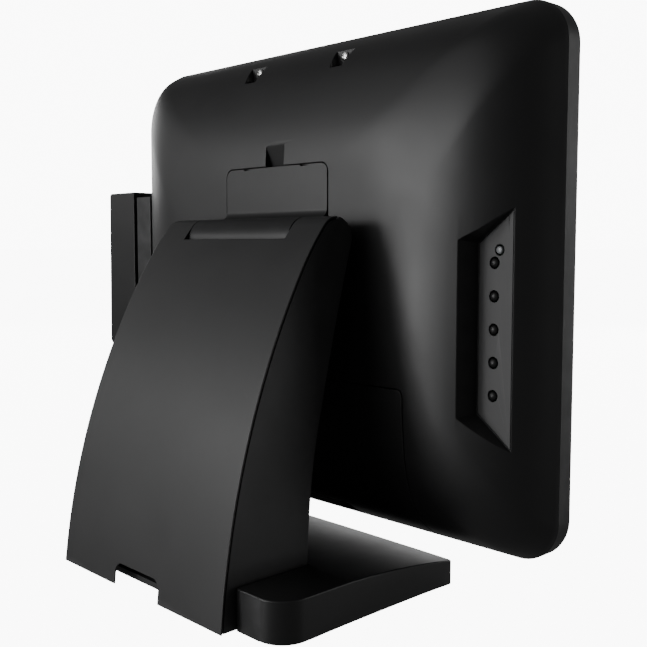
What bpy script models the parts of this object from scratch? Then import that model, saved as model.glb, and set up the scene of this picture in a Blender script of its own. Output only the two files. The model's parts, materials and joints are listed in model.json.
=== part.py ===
"""Point-of-sale all-in-one computer: a flat touch-screen head that tilts on a swept stand.

Frame: metres, +Z up, the screen faces -Y and the user's right is +X. Shapes are written with
x = 0 on the stand's symmetry plane and y = 0 where the rear shell meets the front frame. The
root empty then moves everything so that the origin is the centre of the footprint on the floor.
"""
import math
import bmesh
import bpy

# ---------------------------------------------------------------- driving dimensions (metres)
GAP = 0.0003                 # air between two pieces that touch
WALL = 0.0025                # moulded wall thickness

HEAD_W = 0.362
HEAD_H = 0.3037
HEAD_BOTTOM = 0.0246         # underside of the head above the floor
HEAD_CORNER = 0.024          # outline corner radius
FRAME_DEPTH = 0.0109         # side band of the front frame
GLASS_T = 0.0012
DOME_DEPTH = 0.0445          # rim to the flat back
DOME_RUN = 0.085             # how far in from the rim the back turns flat
DOME_CORNER = 0.052          # corner radius of the flat back
DOME_DRAFT = 0.017           # strength of the extra slope next to the rim

HINGE_Y = 0.0628             # tilt axis, parallel to X
HINGE_Z = 0.2022
HORN_R = 0.0127              # rounding of the stand's two horns and of the barrel
BARREL_X = (-0.0475, 0.0482)   # ends of the barrel between the horns
SHAFT_R = 0.004
SHAFT_CLEARANCE = 0.00009

STAND_HALF = 0.0801          # half width at the floor
STAND_TAPER = 0.0256         # loss of half width per metre of height
BACK_ARC_Y = -0.2962         # centre of the back cover's circular profile
BACK_ARC_Z = -0.0430
BACK_ARC_R = 0.4491
BEND_Z = 0.1850               # above this height the back cover bends more tightly
BEND_R = 0.1778
HORN_START = 40.6            # where that bend meets the horn's rounding, degrees
CUTOUT_HALF = 0.0486         # opening between the horns
CUTOUT_Z = 0.2022
STAND_FRONT = ((0.0900, 0.0), (0.0886, 0.036), (0.0834, 0.078), (0.0753, 0.113),
               (0.0650, 0.152), (0.0570, 0.180), (HINGE_Y - HORN_R, HINGE_Z))
EDGE_T = 0.0015              # back cover thickness; its sides are undercut by as much
SIDE_GROOVE = 0.0006         # groove between the back cover and a side plate
SIDE_INSET = 0.0006          # side plates stand this far in from the cover's edges
NOTCH_HALF = 0.0222          # cable notch in the cover's foot
NOTCH_TOP = 0.0135
NOTCH_R = 0.006

BASE_LEFT = 0.1150
BASE_RIGHT = 0.1015
BASE_FRONT = 0.0065
BASE_FRONT_R = 0.003
BASE_REAR = 0.1410
BASE_REAR_R = 0.016
BASE_LIFT = 0.0004           # the feet, sunk in the weight plate, hold the shell off the floor
BASE_HEIGHT = 0.0232
BASE_ARC_Y = 0.1138          # centre of the top's front slope
BASE_ARC_Z = -0.6190
BASE_ARC_R = 0.6426
BASE_FRONT_BOW = 0.003
PLATE_LIFT = 0.0003          # the weight plate sits this far up inside the shell
WEIGHT_T = 0.0035            # weight plate thickness
FOOT_R = 0.008
FOOT_T = 0.0016
FOOT_X = (-0.096, 0.086)
FOOT_Y = (0.0215, 0.1270)
STAND_FOOT = BASE_LIFT + PLATE_LIFT + WEIGHT_T + 2 * GAP   # side plates stand on the weight plate

BUTTON_COUNT = 5
BUTTON_PITCH = 0.0178
BUTTON_R = 0.0025
BUTTON_HOLE_R = 0.0033
RECESS_IN = (-0.1429, 0.0232)    # x, y of the floor's inner edge
RECESS_OUT = (-0.1662, 0.0242)   # x, y of the floor's outer edge
RECESS_Z = 0.1538                # middle height
RECESS_IN_HALF = 0.0466
RECESS_OUT_HALF = 0.0640
RECESS_DRAFT = (0.17, 0.07)      # lean of the inner wall and of the end walls, per unit of depth
KEY_PLATE_T = 0.0008             # inlay on the recess floor, round the buttons
KEY_MARGIN = 0.0006              # the recess floor shows this much outside it
BUTTON_SHARE = 0.46              # place of the buttons across the floor, 0 inside to 1 outside
LED_SHARE = 0.60
LED_Z = 0.1962
LED_R = 0.0020
LED_HOLE_R = 0.0031

POCKET_X = 0.0405                # screw pockets near the top edge
POCKET_FLOOR = 0.0213
POCKET_FOOT = 0.3055
POCKET_FOOT_HALF = 0.0050
POCKET_TOP_HALF = 0.0112

PORT_HALF = 0.107                # snap-on cover over the connectors
PORT_TOP = 0.1185
PORT_CORNER = 0.004

PLATE_HALF = 0.0481              # hinge cover's plate, let into the back
PLATE_TOP = 0.2475
PLATE_FOOT = 0.1930
PLATE_CORNER = 0.006
PLATE_T = 0.0024
PRY_HALF = 0.0086                # finger notch above it
PRY_TOP = 0.2622
PRY_DEPTH = 0.0055
PRY_CORNER = 0.003

READER_Y = (-0.0106, 0.0195)
READER_Z = (0.1166, 0.2405)
SLOT_X = (0.1964, 0.2008)
READER_OUT = (0.2395, 0.2371)    # outer face at the bottom and at the top
READER_STEP = 0.0043             # the block on the head ends this much lower
READER_CORNER = 0.003
WEB_T = 0.0070                   # the web and flanges that join the two blocks

WINDOW = (0.330, 0.258)          # opening of the front frame over the display
DISPLAY = (0.3265, 0.0096, 0.2535)
CHASSIS = (0.348, 0.286)
CHASSIS_CORNER = 0.020
BOARD_DROP = 0.055               # the computer board's centre below the head's centre
SCREW = (0.0400, 0.3128)         # x and z of the two top screws
SCREW_R = 0.0028
BRACKET_TOP = 0.172
BRACKET_T = 0.003
HINGE_X = (0.0518, 0.0618)       # friction hinge housings, inside the horns
BRIDGE_Y = 0.0360                # plate inside the head that carries the shaft


# ---------------------------------------------------------------- materials
def material(name, colour, roughness, metallic):
    mat = bpy.data.materials.new(name)
    mat.use_nodes = True
    shader = mat.node_tree.nodes["Principled BSDF"]
    shader.inputs["Base Color"].default_value = (*colour, 1.0)
    shader.inputs["Roughness"].default_value = roughness
    shader.inputs["Metallic"].default_value = metallic
    mat.diffuse_color = (*colour, 1.0)
    return mat


def make_materials():
    return {
        "case": material("black_case", (0.022, 0.022, 0.023), 0.48, 0.0),
        "stand": material("black_stand", (0.028, 0.028, 0.029), 0.55, 0.0),
        "rubber": material("foot_rubber", (0.02, 0.02, 0.02), 0.85, 0.0),
        "steel": material("zinc_steel", (0.62, 0.63, 0.64), 0.35, 1.0),
        "screw": material("nickel_screw", (0.78, 0.78, 0.77), 0.22, 1.0),
        "alloy": material("alloy", (0.70, 0.71, 0.72), 0.4, 1.0),
        "board": material("circuit_board", (0.03, 0.12, 0.06), 0.5, 0.0),
        "glass": material("black_glass", (0.01, 0.01, 0.012), 0.06, 0.0),
        "panel": material("panel_frame", (0.55, 0.56, 0.57), 0.4, 0.8),
        "lens": material("clear_lens", (0.75, 0.78, 0.80), 0.15, 0.0),
        "key": material("key_plate", (0.055, 0.055, 0.057), 0.5, 0.0),
        "button": material("black_button", (0.03, 0.03, 0.031), 0.35, 0.0),
    }


# ---------------------------------------------------------------- mesh helpers
def mesh_object(name, verts, faces, mat):
    """A closed mesh with its faces turned outwards."""
    mesh = bpy.data.meshes.new(name)
    bm = bmesh.new()
    made = [bm.verts.new(v) for v in verts]
    for face in faces:
        bm.faces.new([made[i] for i in face])
    bmesh.ops.recalc_face_normals(bm, faces=bm.faces)
    bm.to_mesh(mesh)
    bm.free()
    mesh.materials.append(mat)
    obj = bpy.data.objects.new(name, mesh)
    bpy.context.collection.objects.link(obj)
    return obj


def loft(name, rings, mat):
    """Bridge closed rings of equal length and cap both ends."""
    count = len(rings[0])
    verts = [point for ring in rings for point in ring]
    faces = []
    for level in range(len(rings) - 1):
        low = level * count
        for i in range(count):
            j = (i + 1) % count
            faces.append((low + i, low + j, low + count + j, low + count + i))
    faces.append(tuple(range(count)))
    faces.append(tuple(range(len(verts) - count, len(verts))))
    return mesh_object(name, verts, faces, mat)


def to_3d(axis, u, v, w):
    """Point (u, v) of a profile at depth w along the axis."""
    if axis == "X":
        return (w, u, v)
    if axis == "Y":
        return (u, w, v)
    return (u, v, w)


def prism(name, axis, profile, low, high, mat):
    rings = [[to_3d(axis, u, v, w) for u, v in profile] for w in (low, high)]
    return loft(name, rings, mat)


def box(name, low, high, mat):
    profile = ((low[0], low[1]), (high[0], low[1]), (high[0], high[1]), (low[0], high[1]))
    return prism(name, "Z", profile, low[2], high[2], mat)


def arc(centre, radius, start, end, steps):
    """Points on a circle between two angles in degrees."""
    points = []
    for i in range(steps + 1):
        angle = math.radians(start + (end - start) * i / steps)
        points.append((centre[0] + radius * math.cos(angle), centre[1] + radius * math.sin(angle)))
    return points


def rounded_rect(centre, width, height, radius, steps=5):
    points = []
    for sx, sy, start in ((1, 1, 0), (-1, 1, 90), (-1, -1, 180), (1, -1, 270)):
        corner = (centre[0] + sx * (width / 2 - radius), centre[1] + sy * (height / 2 - radius))
        points += arc(corner, radius, start, start + 90, steps)
    return points


def cylinder(name, axis, centre, radius, low, high, mat, sides=32):
    return prism(name, axis, arc(centre, radius, 0, 360 - 360 / sides, sides - 1), low, high, mat)


def boolean(target, tool, operation):
    """Apply one exact Boolean and drop the tool."""
    modifier = target.modifiers.new(operation.lower(), "BOOLEAN")
    modifier.operation = operation
    modifier.object = tool
    graph = bpy.context.evaluated_depsgraph_get()
    result = bpy.data.meshes.new_from_object(target.evaluated_get(graph))
    target.modifiers.clear()
    target.data = result
    bpy.data.objects.remove(tool)
    return target


def cut(target, *tools):
    for tool in tools:
        boolean(target, tool, "DIFFERENCE")
    return target


def join(target, *tools):
    for tool in tools:
        boolean(target, tool, "UNION")
    return target


def smooth(obj, angle=35):
    obj.data.shade_smooth()
    obj.data.set_sharp_from_angle(angle=math.radians(angle))
    return obj


# ---------------------------------------------------------------- shapes used more than once
def head_centre():
    return (0.0, HEAD_BOTTOM + HEAD_H / 2)


def draft(degrees):
    """Extra run next to the rim, so that the back leaves it at a slope and then joins the bulge."""
    share = min(degrees / 45, 1)
    return DOME_DRAFT * share * (1 - share) ** 2


def dome(name, inset, mat, start=GAP):
    """The bulged back as a solid. inset shrinks it evenly, for the inside of the wall."""
    rings = []
    if inset:
        outline = rounded_rect(head_centre(), HEAD_W - 2 * inset, HEAD_H - 2 * inset,
                               HEAD_CORNER - inset, 6)
        rings.append([(x, -0.002, z) for x, z in outline])
    for degrees in (0, 8, 18, 30, 42, 54, 66, 78, 90):
        rise = math.sin(math.radians(degrees))
        run = 1 - math.cos(math.radians(degrees))
        shrink = inset + (DOME_RUN - inset) * run + draft(degrees)
        corner = HEAD_CORNER - inset + (DOME_CORNER - HEAD_CORNER + inset) * run ** 1.5
        outline = rounded_rect(head_centre(), HEAD_W - 2 * shrink, HEAD_H - 2 * shrink, corner, 6)
        depth = start + (DOME_DEPTH - inset - start) * rise
        rings.append([(x, depth, z) for x, z in outline])
    return loft(name, rings, mat)


def half_width(z):
    return STAND_HALF - STAND_TAPER * z


def back_y(z, inset=0.0):
    """The back cover's profile: a long arc, then a tighter one with the same tangent."""
    rise = (BEND_Z - BACK_ARC_Z) / BACK_ARC_R
    radius = BACK_ARC_R - inset
    y, middle = BACK_ARC_Y, BACK_ARC_Z
    if z > middle + radius * rise:
        y += (BACK_ARC_R - BEND_R) * math.sqrt(1 - rise ** 2)
        middle += (BACK_ARC_R - BEND_R) * rise
        radius = BEND_R - inset
    return y + math.sqrt(radius ** 2 - (z - middle) ** 2)


def curve(points, steps):
    """Catmull-Rom curve through the points."""
    padded = [points[0], *points, points[-1]]
    result = []
    for i in range(1, len(padded) - 2):
        p0, p1, p2, p3 = padded[i - 1:i + 3]
        for k in range(steps):
            t = k / steps
            result.append(tuple(0.5 * (2 * b + (c - a) * t + (2 * a - 5 * b + 4 * c - d) * t * t
                                       + (3 * b - a - 3 * c + d) * t ** 3)
                                for a, b, c, d in zip(p0, p1, p2, p3)))
    result.append(points[-1])
    return result


def horn(inset, start, end, steps):
    return arc((HINGE_Y, HINGE_Z), HORN_R - inset, start, end, steps)


def back_line(inset, low, steps=14):
    """Back profile from the floor up to where it meets the horn's rounding."""
    top = HINGE_Z + (HORN_R - inset) * math.sin(math.radians(HORN_START))
    points = []
    for i in range(steps + 1):
        z = low + (top - low) * i / steps
        points.append((back_y(z, inset), z))
    return points


def stand_section(inset, back_inset, low):
    """Closed YZ outline of the stand, set in from its outer faces."""
    front = [(y + inset, max(z, low)) for y, z in curve(STAND_FRONT, 3)][:-1]
    return front + horn(inset, 180, 46, 8) + list(reversed(back_line(back_inset, low)))


def taper_prism(name, profile, outer, inner, side, mat):
    """Extrude a YZ outline along X between two distances in from the tapered side."""
    rings = [[(side * (half_width(z) - d), y, z) for y, z in profile] for d in (outer, inner)]
    return loft(name, rings, mat)


# ---------------------------------------------------------------- base
def base_outline(inset):
    """Plan of the base, with a slightly bowed front."""
    rear = BASE_REAR - inset - BASE_REAR_R
    front = BASE_FRONT + inset + BASE_FRONT_R
    left = -BASE_LEFT + inset
    right = BASE_RIGHT - inset
    points = arc((right - BASE_REAR_R, rear), BASE_REAR_R, 0, 90, 5)
    points += arc((left + BASE_REAR_R, rear), BASE_REAR_R, 90, 180, 5)
    points += arc((left + BASE_FRONT_R, front), BASE_FRONT_R, 180, 262, 3)
    low = left + BASE_FRONT_R
    high = right - BASE_FRONT_R
    for i in range(1, 8):
        share = i / 8
        bow = BASE_FRONT_BOW * 4 * share * (1 - share)
        points.append((low + (high - low) * share, BASE_FRONT + inset - bow))
    return points + arc((right - BASE_FRONT_R, front), BASE_FRONT_R, 278, 360, 3)


def base_slope(offset):
    """Side profile above the sloping top, used to trim the base."""
    top = 0.05
    slope = []
    for i in range(9):
        y = BASE_FRONT - 0.01 + (0.0905 - BASE_FRONT + 0.01) * i / 8
        slope.append((y, BASE_ARC_Z + math.sqrt(BASE_ARC_R ** 2 - (y - BASE_ARC_Y) ** 2) - offset))
    return slope + [(BASE_REAR + 0.02, BASE_HEIGHT - offset), (BASE_REAR + 0.02, top),
                    (BASE_FRONT - 0.01, top)]


def make_base(mats):
    low = BASE_LIFT
    shell = prism("base_shell", "Z", base_outline(0), low, 0.04, mats["case"])
    cut(shell, prism("trim", "X", base_slope(0), -0.2, 0.2, mats["case"]))
    hollow = prism("hollow", "Z", base_outline(WALL), low - 0.001, 0.04, mats["case"])
    cut(hollow, prism("trim", "X", base_slope(WALL), -0.2, 0.2, mats["case"]))
    cut(shell, hollow)
    clearance = STAND_HALF + 0.0004
    cut(shell, box("bay", (-clearance, STAND_FRONT[0][0] - 0.0008, -0.01),
                   (clearance, BASE_REAR + 0.02, 0.05), mats["case"]))
    seat = low + PLATE_LIFT
    plate = prism("base_plate", "Z", base_outline(WALL + GAP), seat, seat + WEIGHT_T, mats["steel"])
    pieces = [smooth(shell), plate]
    for x in FOOT_X:
        for y in FOOT_Y:
            cut(plate, cylinder("pocket", "Z", (x, y), FOOT_R + GAP, -0.01, FOOT_T + GAP, mats["steel"], 28))
            name = "foot_{}_{}".format("front" if y < 0.1 else "rear", "right" if x > 0 else "left")
            pieces.append(cylinder(name, "Z", (x, y), FOOT_R, 0, FOOT_T, mats["rubber"], 28))
    return pieces


# ---------------------------------------------------------------- stand
def make_back_cover(mats):
    """Swept back cover with its cable notch and the opening between the horns."""
    outer = back_line(0, BASE_LIFT) + horn(0, 46, 92, 4)
    inner = back_line(EDGE_T, BASE_LIFT) + horn(EDGE_T, 46, 92, 4)
    rings = []
    for side in (-1, 1):
        ring = [(side * half_width(z), y, z) for y, z in outer]
        ring += [(side * (half_width(z) - EDGE_T), y, z) for y, z in reversed(inner)]
        rings.append(ring)
    cover = loft("stand_back_cover", rings, mats["stand"])
    cut(cover, box("cutout", (-CUTOUT_HALF, 0.02, CUTOUT_Z), (CUTOUT_HALF, 0.12, 0.24), mats["stand"]))
    notch = [(NOTCH_HALF, -0.01)]
    notch += arc((NOTCH_HALF - NOTCH_R, NOTCH_TOP - NOTCH_R), NOTCH_R, 0, 90, 4)
    notch += arc((-NOTCH_HALF + NOTCH_R, NOTCH_TOP - NOTCH_R), NOTCH_R, 90, 180, 4)
    notch.append((-NOTCH_HALF, -0.01))
    return smooth(cut(cover, prism("notch", "Y", notch, 0.10, 0.20, mats["stand"])))


def make_side(side, mats):
    name = "stand_side_right" if side > 0 else "stand_side_left"
    profile = stand_section(0, EDGE_T + SIDE_GROOVE, BASE_LIFT)
    plate = taper_prism(name, profile, SIDE_INSET, SIDE_INSET + WALL, side, mats["stand"])
    cut(plate, box("over_base", (-0.1, 0.0, -0.01), (0.1, BASE_REAR - WALL, STAND_FOOT), mats["stand"]))
    trim = prism("trim", "X", horn(-0.01, 30, 100, 4) + horn(EDGE_T + 0.0005, 100, 30, 4), -0.1, 0.1,
                 mats["stand"])
    return smooth(cut(plate, trim))


def make_front_cover(mats):
    """Closes the stand towards the head, from the base up to the two horn fronts."""
    inset = WALL
    gap = SIDE_INSET + WALL + GAP
    low = BASE_HEIGHT + 0.0006
    line = [p for p in curve(STAND_FRONT, 3)[:-1] if p[1] > low]
    outer = [(STAND_FRONT[0][0] - 0.0006, low), *line[1:], *horn(0, 180, 96, 5)]
    inner = [(y + inset, z) for y, z in outer[:-6]] + horn(inset, 180, 96, 5)
    profile = outer + list(reversed(inner))
    rings = [[(side * (half_width(z) - gap), y, z) for y, z in profile] for side in (-1, 1)]
    cover = loft("stand_front_cover", rings, mats["stand"])
    cut(cover, box("neck", (-CUTOUT_HALF, 0.0, 0.176), (CUTOUT_HALF, 0.12, 0.24), mats["stand"]))
    return smooth(cover)


def make_cheek(side, mats):
    """Inner wall of a horn, beside the barrel, with the shaft's hole."""
    name = "horn_cheek_right" if side > 0 else "horn_cheek_left"
    inset = EDGE_T + 0.0004
    front = WALL + 0.0004
    profile = horn(front, 180, 96, 5) + horn(inset, 88, 40, 4)
    profile += [(back_y(z, inset), z) for z in (0.2060, 0.1980, 0.1900, 0.1800)]
    profile += [(HINGE_Y + 0.001, 0.1780)]
    low, high = sorted((side * (CUTOUT_HALF + 0.0002), side * (CUTOUT_HALF + 0.0022)))
    cheek = prism(name, "X", profile, low, high, mats["stand"])
    hole = cylinder("hole", "X", (HINGE_Y, HINGE_Z), SHAFT_R + 0.0008, low - 0.001, high + 0.001,
                    mats["stand"])
    return smooth(cut(cheek, hole))


def make_bracket(mats):
    """Folded steel plate that carries the hinges up from the weight plate."""
    floor = STAND_FOOT - GAP
    outer = [(0.1300, floor), (0.1020, floor), (0.0690, BRACKET_TOP)]
    inner = [(0.1300, floor + BRACKET_T), (0.1046, floor + BRACKET_T), (0.0721, BRACKET_TOP)]
    profile = outer + list(reversed(inner))
    bracket = prism("stand_bracket", "X", profile, -0.062, 0.062, mats["steel"])
    window = prism("window", "Y", rounded_rect((0, 0.095), 0.036, 0.036, 0.008, 4), 0.04, 0.16,
                   mats["steel"])
    return smooth(cut(bracket, window))


def make_hinge(side, mats):
    """Friction hinge housing: a leg on the bracket and a clamp ring around the shaft."""
    name = "hinge_right" if side > 0 else "hinge_left"
    low, high = sorted(side * x for x in HINGE_X)
    ring = arc((HINGE_Y, HINGE_Z), 0.0074, 215, -20, 14)
    foot = BRACKET_TOP + 2 * GAP
    profile = ring + [(0.0695, 0.1850), (0.0709, foot), (0.0630, foot), (0.0582, 0.1890)]
    housing = prism(name, "X", profile, low, high, mats["steel"])
    bore = cylinder("bore", "X", (HINGE_Y, HINGE_Z), SHAFT_R + SHAFT_CLEARANCE, low - 0.001,
                    high + 0.001, mats["steel"], 48)
    return smooth(cut(housing, bore))


def make_stand_screws(mats):
    """Four screws through the weight plate's top that hold the bracket's foot."""
    top = STAND_FOOT - GAP + BRACKET_T + GAP
    pieces = []
    for number, (x, y) in enumerate(((-0.05, 0.111), (0.05, 0.111), (-0.05, 0.124), (0.05, 0.124)), 1):
        name = "bracket_screw_{}".format(number)
        pieces.append(cylinder(name, "Z", (x, y), 0.0036, top, top + 0.0022, mats["screw"], 20))
    return pieces


# ---------------------------------------------------------------- head
def recess_outline(spread=0.0):
    """Back view of the button recess: a trapezoid, wider at its outer edge."""
    x_in = RECESS_IN[0] + spread
    x_out = RECESS_OUT[0] - 0.012
    grow = (RECESS_OUT_HALF - RECESS_IN_HALF) / (RECESS_IN[0] - RECESS_OUT[0])
    out_half = RECESS_IN_HALF + grow * (RECESS_IN[0] - x_out) + spread
    in_half = RECESS_IN_HALF + spread
    return [(x_in, RECESS_Z - in_half), (x_in, RECESS_Z + in_half),
            (x_out, RECESS_Z + out_half), (x_out, RECESS_Z - out_half)]


def recess_floor_y(x, drop=0.0):
    slope = (RECESS_OUT[1] - RECESS_IN[1]) / (RECESS_OUT[0] - RECESS_IN[0])
    return RECESS_IN[1] + slope * (x - RECESS_IN[0]) - drop


def recess_prism(name, spread, drop, mat):
    """Everything behind the sloping recess floor."""
    depth = 0.07
    floor = [(x, recess_floor_y(x, drop), z) for x, z in recess_outline(spread)]
    mouth = []
    for x, y, z in floor:
        lean = RECESS_DRAFT[0] * (depth - y) if x > RECESS_OUT[0] else 0.0
        side = 1 if z > RECESS_Z else -1
        mouth.append((x + lean, depth, z + side * RECESS_DRAFT[1] * (depth - y)))
    return loft(name, [floor, mouth], mat)


def screw_pocket(name, side, spread, drop, mat):
    """Flat-floored pocket near the top edge, narrower towards the bottom."""
    top = HEAD_BOTTOM + HEAD_H + 0.002
    foot = POCKET_FOOT - spread
    foot_half = POCKET_FOOT_HALF + spread
    top_half = POCKET_TOP_HALF + spread
    middle = side * POCKET_X
    outline = [(middle - foot_half, foot), (middle + foot_half, foot),
               (middle + top_half, top), (middle - top_half, top)]
    return prism(name, "Y", outline, POCKET_FLOOR - drop, 0.07, mat)


def button_axis():
    """Unit vector out of the sloping recess floor."""
    dx = RECESS_OUT[0] - RECESS_IN[0]
    dy = RECESS_OUT[1] - RECESS_IN[1]
    length = math.hypot(dx, dy)
    return (dy / length, -dx / length)


def floor_point(share):
    """Point of the recess floor, from its inner edge (0) to its outer edge (1)."""
    return tuple(a + (b - a) * share for a, b in zip(RECESS_IN, RECESS_OUT))


def tilted_cylinder(name, centre, z, radius, low, high, mat, sides=20, crown=0.0):
    """Cylinder square to the recess floor, from low to high, with an optional domed end."""
    nx, ny = button_axis()
    levels = [(low, radius), (high - crown, radius)]
    if crown:
        levels += [(high - crown * 0.35, radius * 0.75), (high, radius * 0.35)]
    rings = []
    for height, ring_radius in levels:
        ring = []
        for i in range(sides):
            angle = 2 * math.pi * i / sides
            side = ring_radius * math.cos(angle)
            ring.append((centre[0] + nx * height - ny * side, centre[1] + ny * height + nx * side,
                         z + ring_radius * math.sin(angle)))
        rings.append(ring)
    return loft(name, rings, mat)


def button_heights():
    return [RECESS_Z + (i - (BUTTON_COUNT - 1) / 2) * BUTTON_PITCH for i in range(BUTTON_COUNT)]


def port_prism(name, shrink, mat):
    radius = PORT_CORNER
    half = PORT_HALF - shrink
    top = PORT_TOP - shrink
    outline = [(half, 0.0)] + arc((half - radius, top - radius), radius, 0, 90, 3)
    outline += arc((-half + radius, top - radius), radius, 90, 180, 3) + [(-half, 0.0)]
    return prism(name, "Y", outline, -0.01, 0.08, mat)


def plate_outline(grow):
    radius = PLATE_CORNER
    half = PLATE_HALF + grow
    top = PLATE_TOP + grow
    outline = [(half, PLATE_FOOT - grow)] + arc((half - radius, top - radius), radius, 0, 90, 4)
    return outline + arc((-half + radius, top - radius), radius, 90, 180, 4) + [(-half, PLATE_FOOT - grow)]


def pry_notch(name, spread, drop, mat):
    """Finger notch above the hinge plate, deepest at its lower end, with rounded top corners."""
    half = PRY_HALF + spread
    foot = PLATE_TOP + 0.0002 - spread
    top = PRY_TOP + spread
    floor = DOME_DEPTH - PRY_DEPTH - drop
    outline = [(half, foot)] + arc((half - PRY_CORNER, top - PRY_CORNER), PRY_CORNER, 0, 90, 3)
    outline += arc((-half + PRY_CORNER, top - PRY_CORNER), PRY_CORNER, 90, 180, 3) + [(-half, foot)]
    slope = (PRY_DEPTH - 0.0005) / (top - foot)
    rings = [[(x, floor + slope * (z - foot), z) for x, z in outline], [(x, 0.06, z) for x, z in outline]]
    return loft(name, rings, mat)


def pierce_floor(piece, mat):
    """Holes for the five buttons and the status lens."""
    for z in button_heights():
        cut(piece, tilted_cylinder("hole", floor_point(BUTTON_SHARE), z, BUTTON_HOLE_R, -0.008, 0.004, mat))
    return cut(piece, tilted_cylinder("hole", floor_point(LED_SHARE), LED_Z, LED_HOLE_R, -0.008, 0.004, mat))


def key_outline(grow):
    """The inlay's outline: the recess, up to just short of its outer edge."""
    inner = recess_outline(grow - 2 * GAP)
    x_out = RECESS_OUT[0] + KEY_MARGIN - grow
    share = (x_out - inner[0][0]) / (inner[2][0] - inner[0][0])
    high = inner[1][1] + (inner[2][1] - inner[1][1]) * share
    low = inner[0][1] + (inner[3][1] - inner[0][1]) * share
    return [inner[0], inner[1], (x_out, high), (x_out, low)]


def make_key_plate(mats):
    """Thin inlay that lies in a shallow pocket of the recess floor."""
    mat = mats["key"]
    outline = key_outline(0)
    rings = [[(x, recess_floor_y(x, drop), z) for x, z in outline] for drop in (KEY_PLATE_T, 0)]
    return smooth(pierce_floor(loft("key_plate", rings, mat), mat))


def key_pocket(mat):
    outline = key_outline(GAP)
    rings = [[(x, recess_floor_y(x, KEY_PLATE_T + GAP), z) for x, z in outline],
             [(x, 0.07, z) for x, z in outline]]
    return loft("key_pocket", rings, mat)


def make_rear_shell(mats):
    mat = mats["case"]
    shell = dome("rear_shell", 0, mat)
    hollow = dome("hollow", WALL, mat)
    keep = 0.002
    cut(hollow, recess_prism("keep", keep, keep + KEY_PLATE_T, mat))
    for side in (-1, 1):
        cut(hollow, screw_pocket("keep", side, keep, keep, mat))
    plate_back = DOME_DEPTH - PLATE_T
    cut(hollow, prism("keep", "Y", plate_outline(0.003), plate_back - keep, 0.08, mat))
    cut(hollow, pry_notch("keep", keep, keep, mat))
    cut(shell, hollow)
    cut(shell, recess_prism("recess", 0, 0, mat), key_pocket(mat))
    for side in (-1, 1):
        cut(shell, screw_pocket("pocket", side, 0, 0, mat))
    cut(shell, pry_notch("pry", 0, 0, mat))
    cut(shell, prism("seat", "Y", plate_outline(0.0004), plate_back - GAP, 0.08, mat))
    cut(shell, box("neck_hole", (-0.043, 0.02, 0.1960), (0.043, 0.08, 0.2340), mat))
    cut(shell, port_prism("port_opening", 0, mat))
    return smooth(pierce_floor(shell, mat))


def make_port_cover(mats):
    """Snap-on lower cover over the connectors, with a cable outlet in its underside."""
    mat = mats["case"]
    cover = dome("port_cover", 0, mat)
    cut(cover, dome("hollow", WALL, mat))
    boolean(cover, port_prism("trim", 2 * GAP, mat), "INTERSECT")
    cut(cover, box("outlet", (-0.045, 0.010, 0.0), (0.045, 0.0225, 0.045), mat))
    return smooth(cover)


def make_front(mats):
    """Front frame and the touch glass on it."""
    centre = head_centre()
    outline = rounded_rect(centre, HEAD_W, HEAD_H, HEAD_CORNER, 7)
    frame = prism("front_frame", "Y", outline, -FRAME_DEPTH, 0.0, mats["case"])
    inner = rounded_rect(centre, HEAD_W - 2 * WALL, HEAD_H - 2 * WALL, HEAD_CORNER - WALL, 7)
    cut(frame, prism("inside", "Y", inner, -FRAME_DEPTH + 0.0016, 0.01, mats["case"]))
    window = rounded_rect(centre, *WINDOW, 0.002, 2)
    cut(frame, prism("window", "Y", window, -0.02, 0.01, mats["case"]))
    inset = 0.0005
    edge = rounded_rect(centre, HEAD_W - 2 * inset, HEAD_H - 2 * inset, HEAD_CORNER - inset, 7)
    glass = prism("touch_glass", "Y", edge, -FRAME_DEPTH - GAP - GLASS_T, -FRAME_DEPTH - GAP,
                  mats["glass"])
    return [smooth(frame), smooth(glass)]


def centred_box(name, centre, size, mat):
    low = [c - s / 2 for c, s in zip(centre, size)]
    high = [c + s / 2 for c, s in zip(centre, size)]
    return box(name, low, high, mat)


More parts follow.
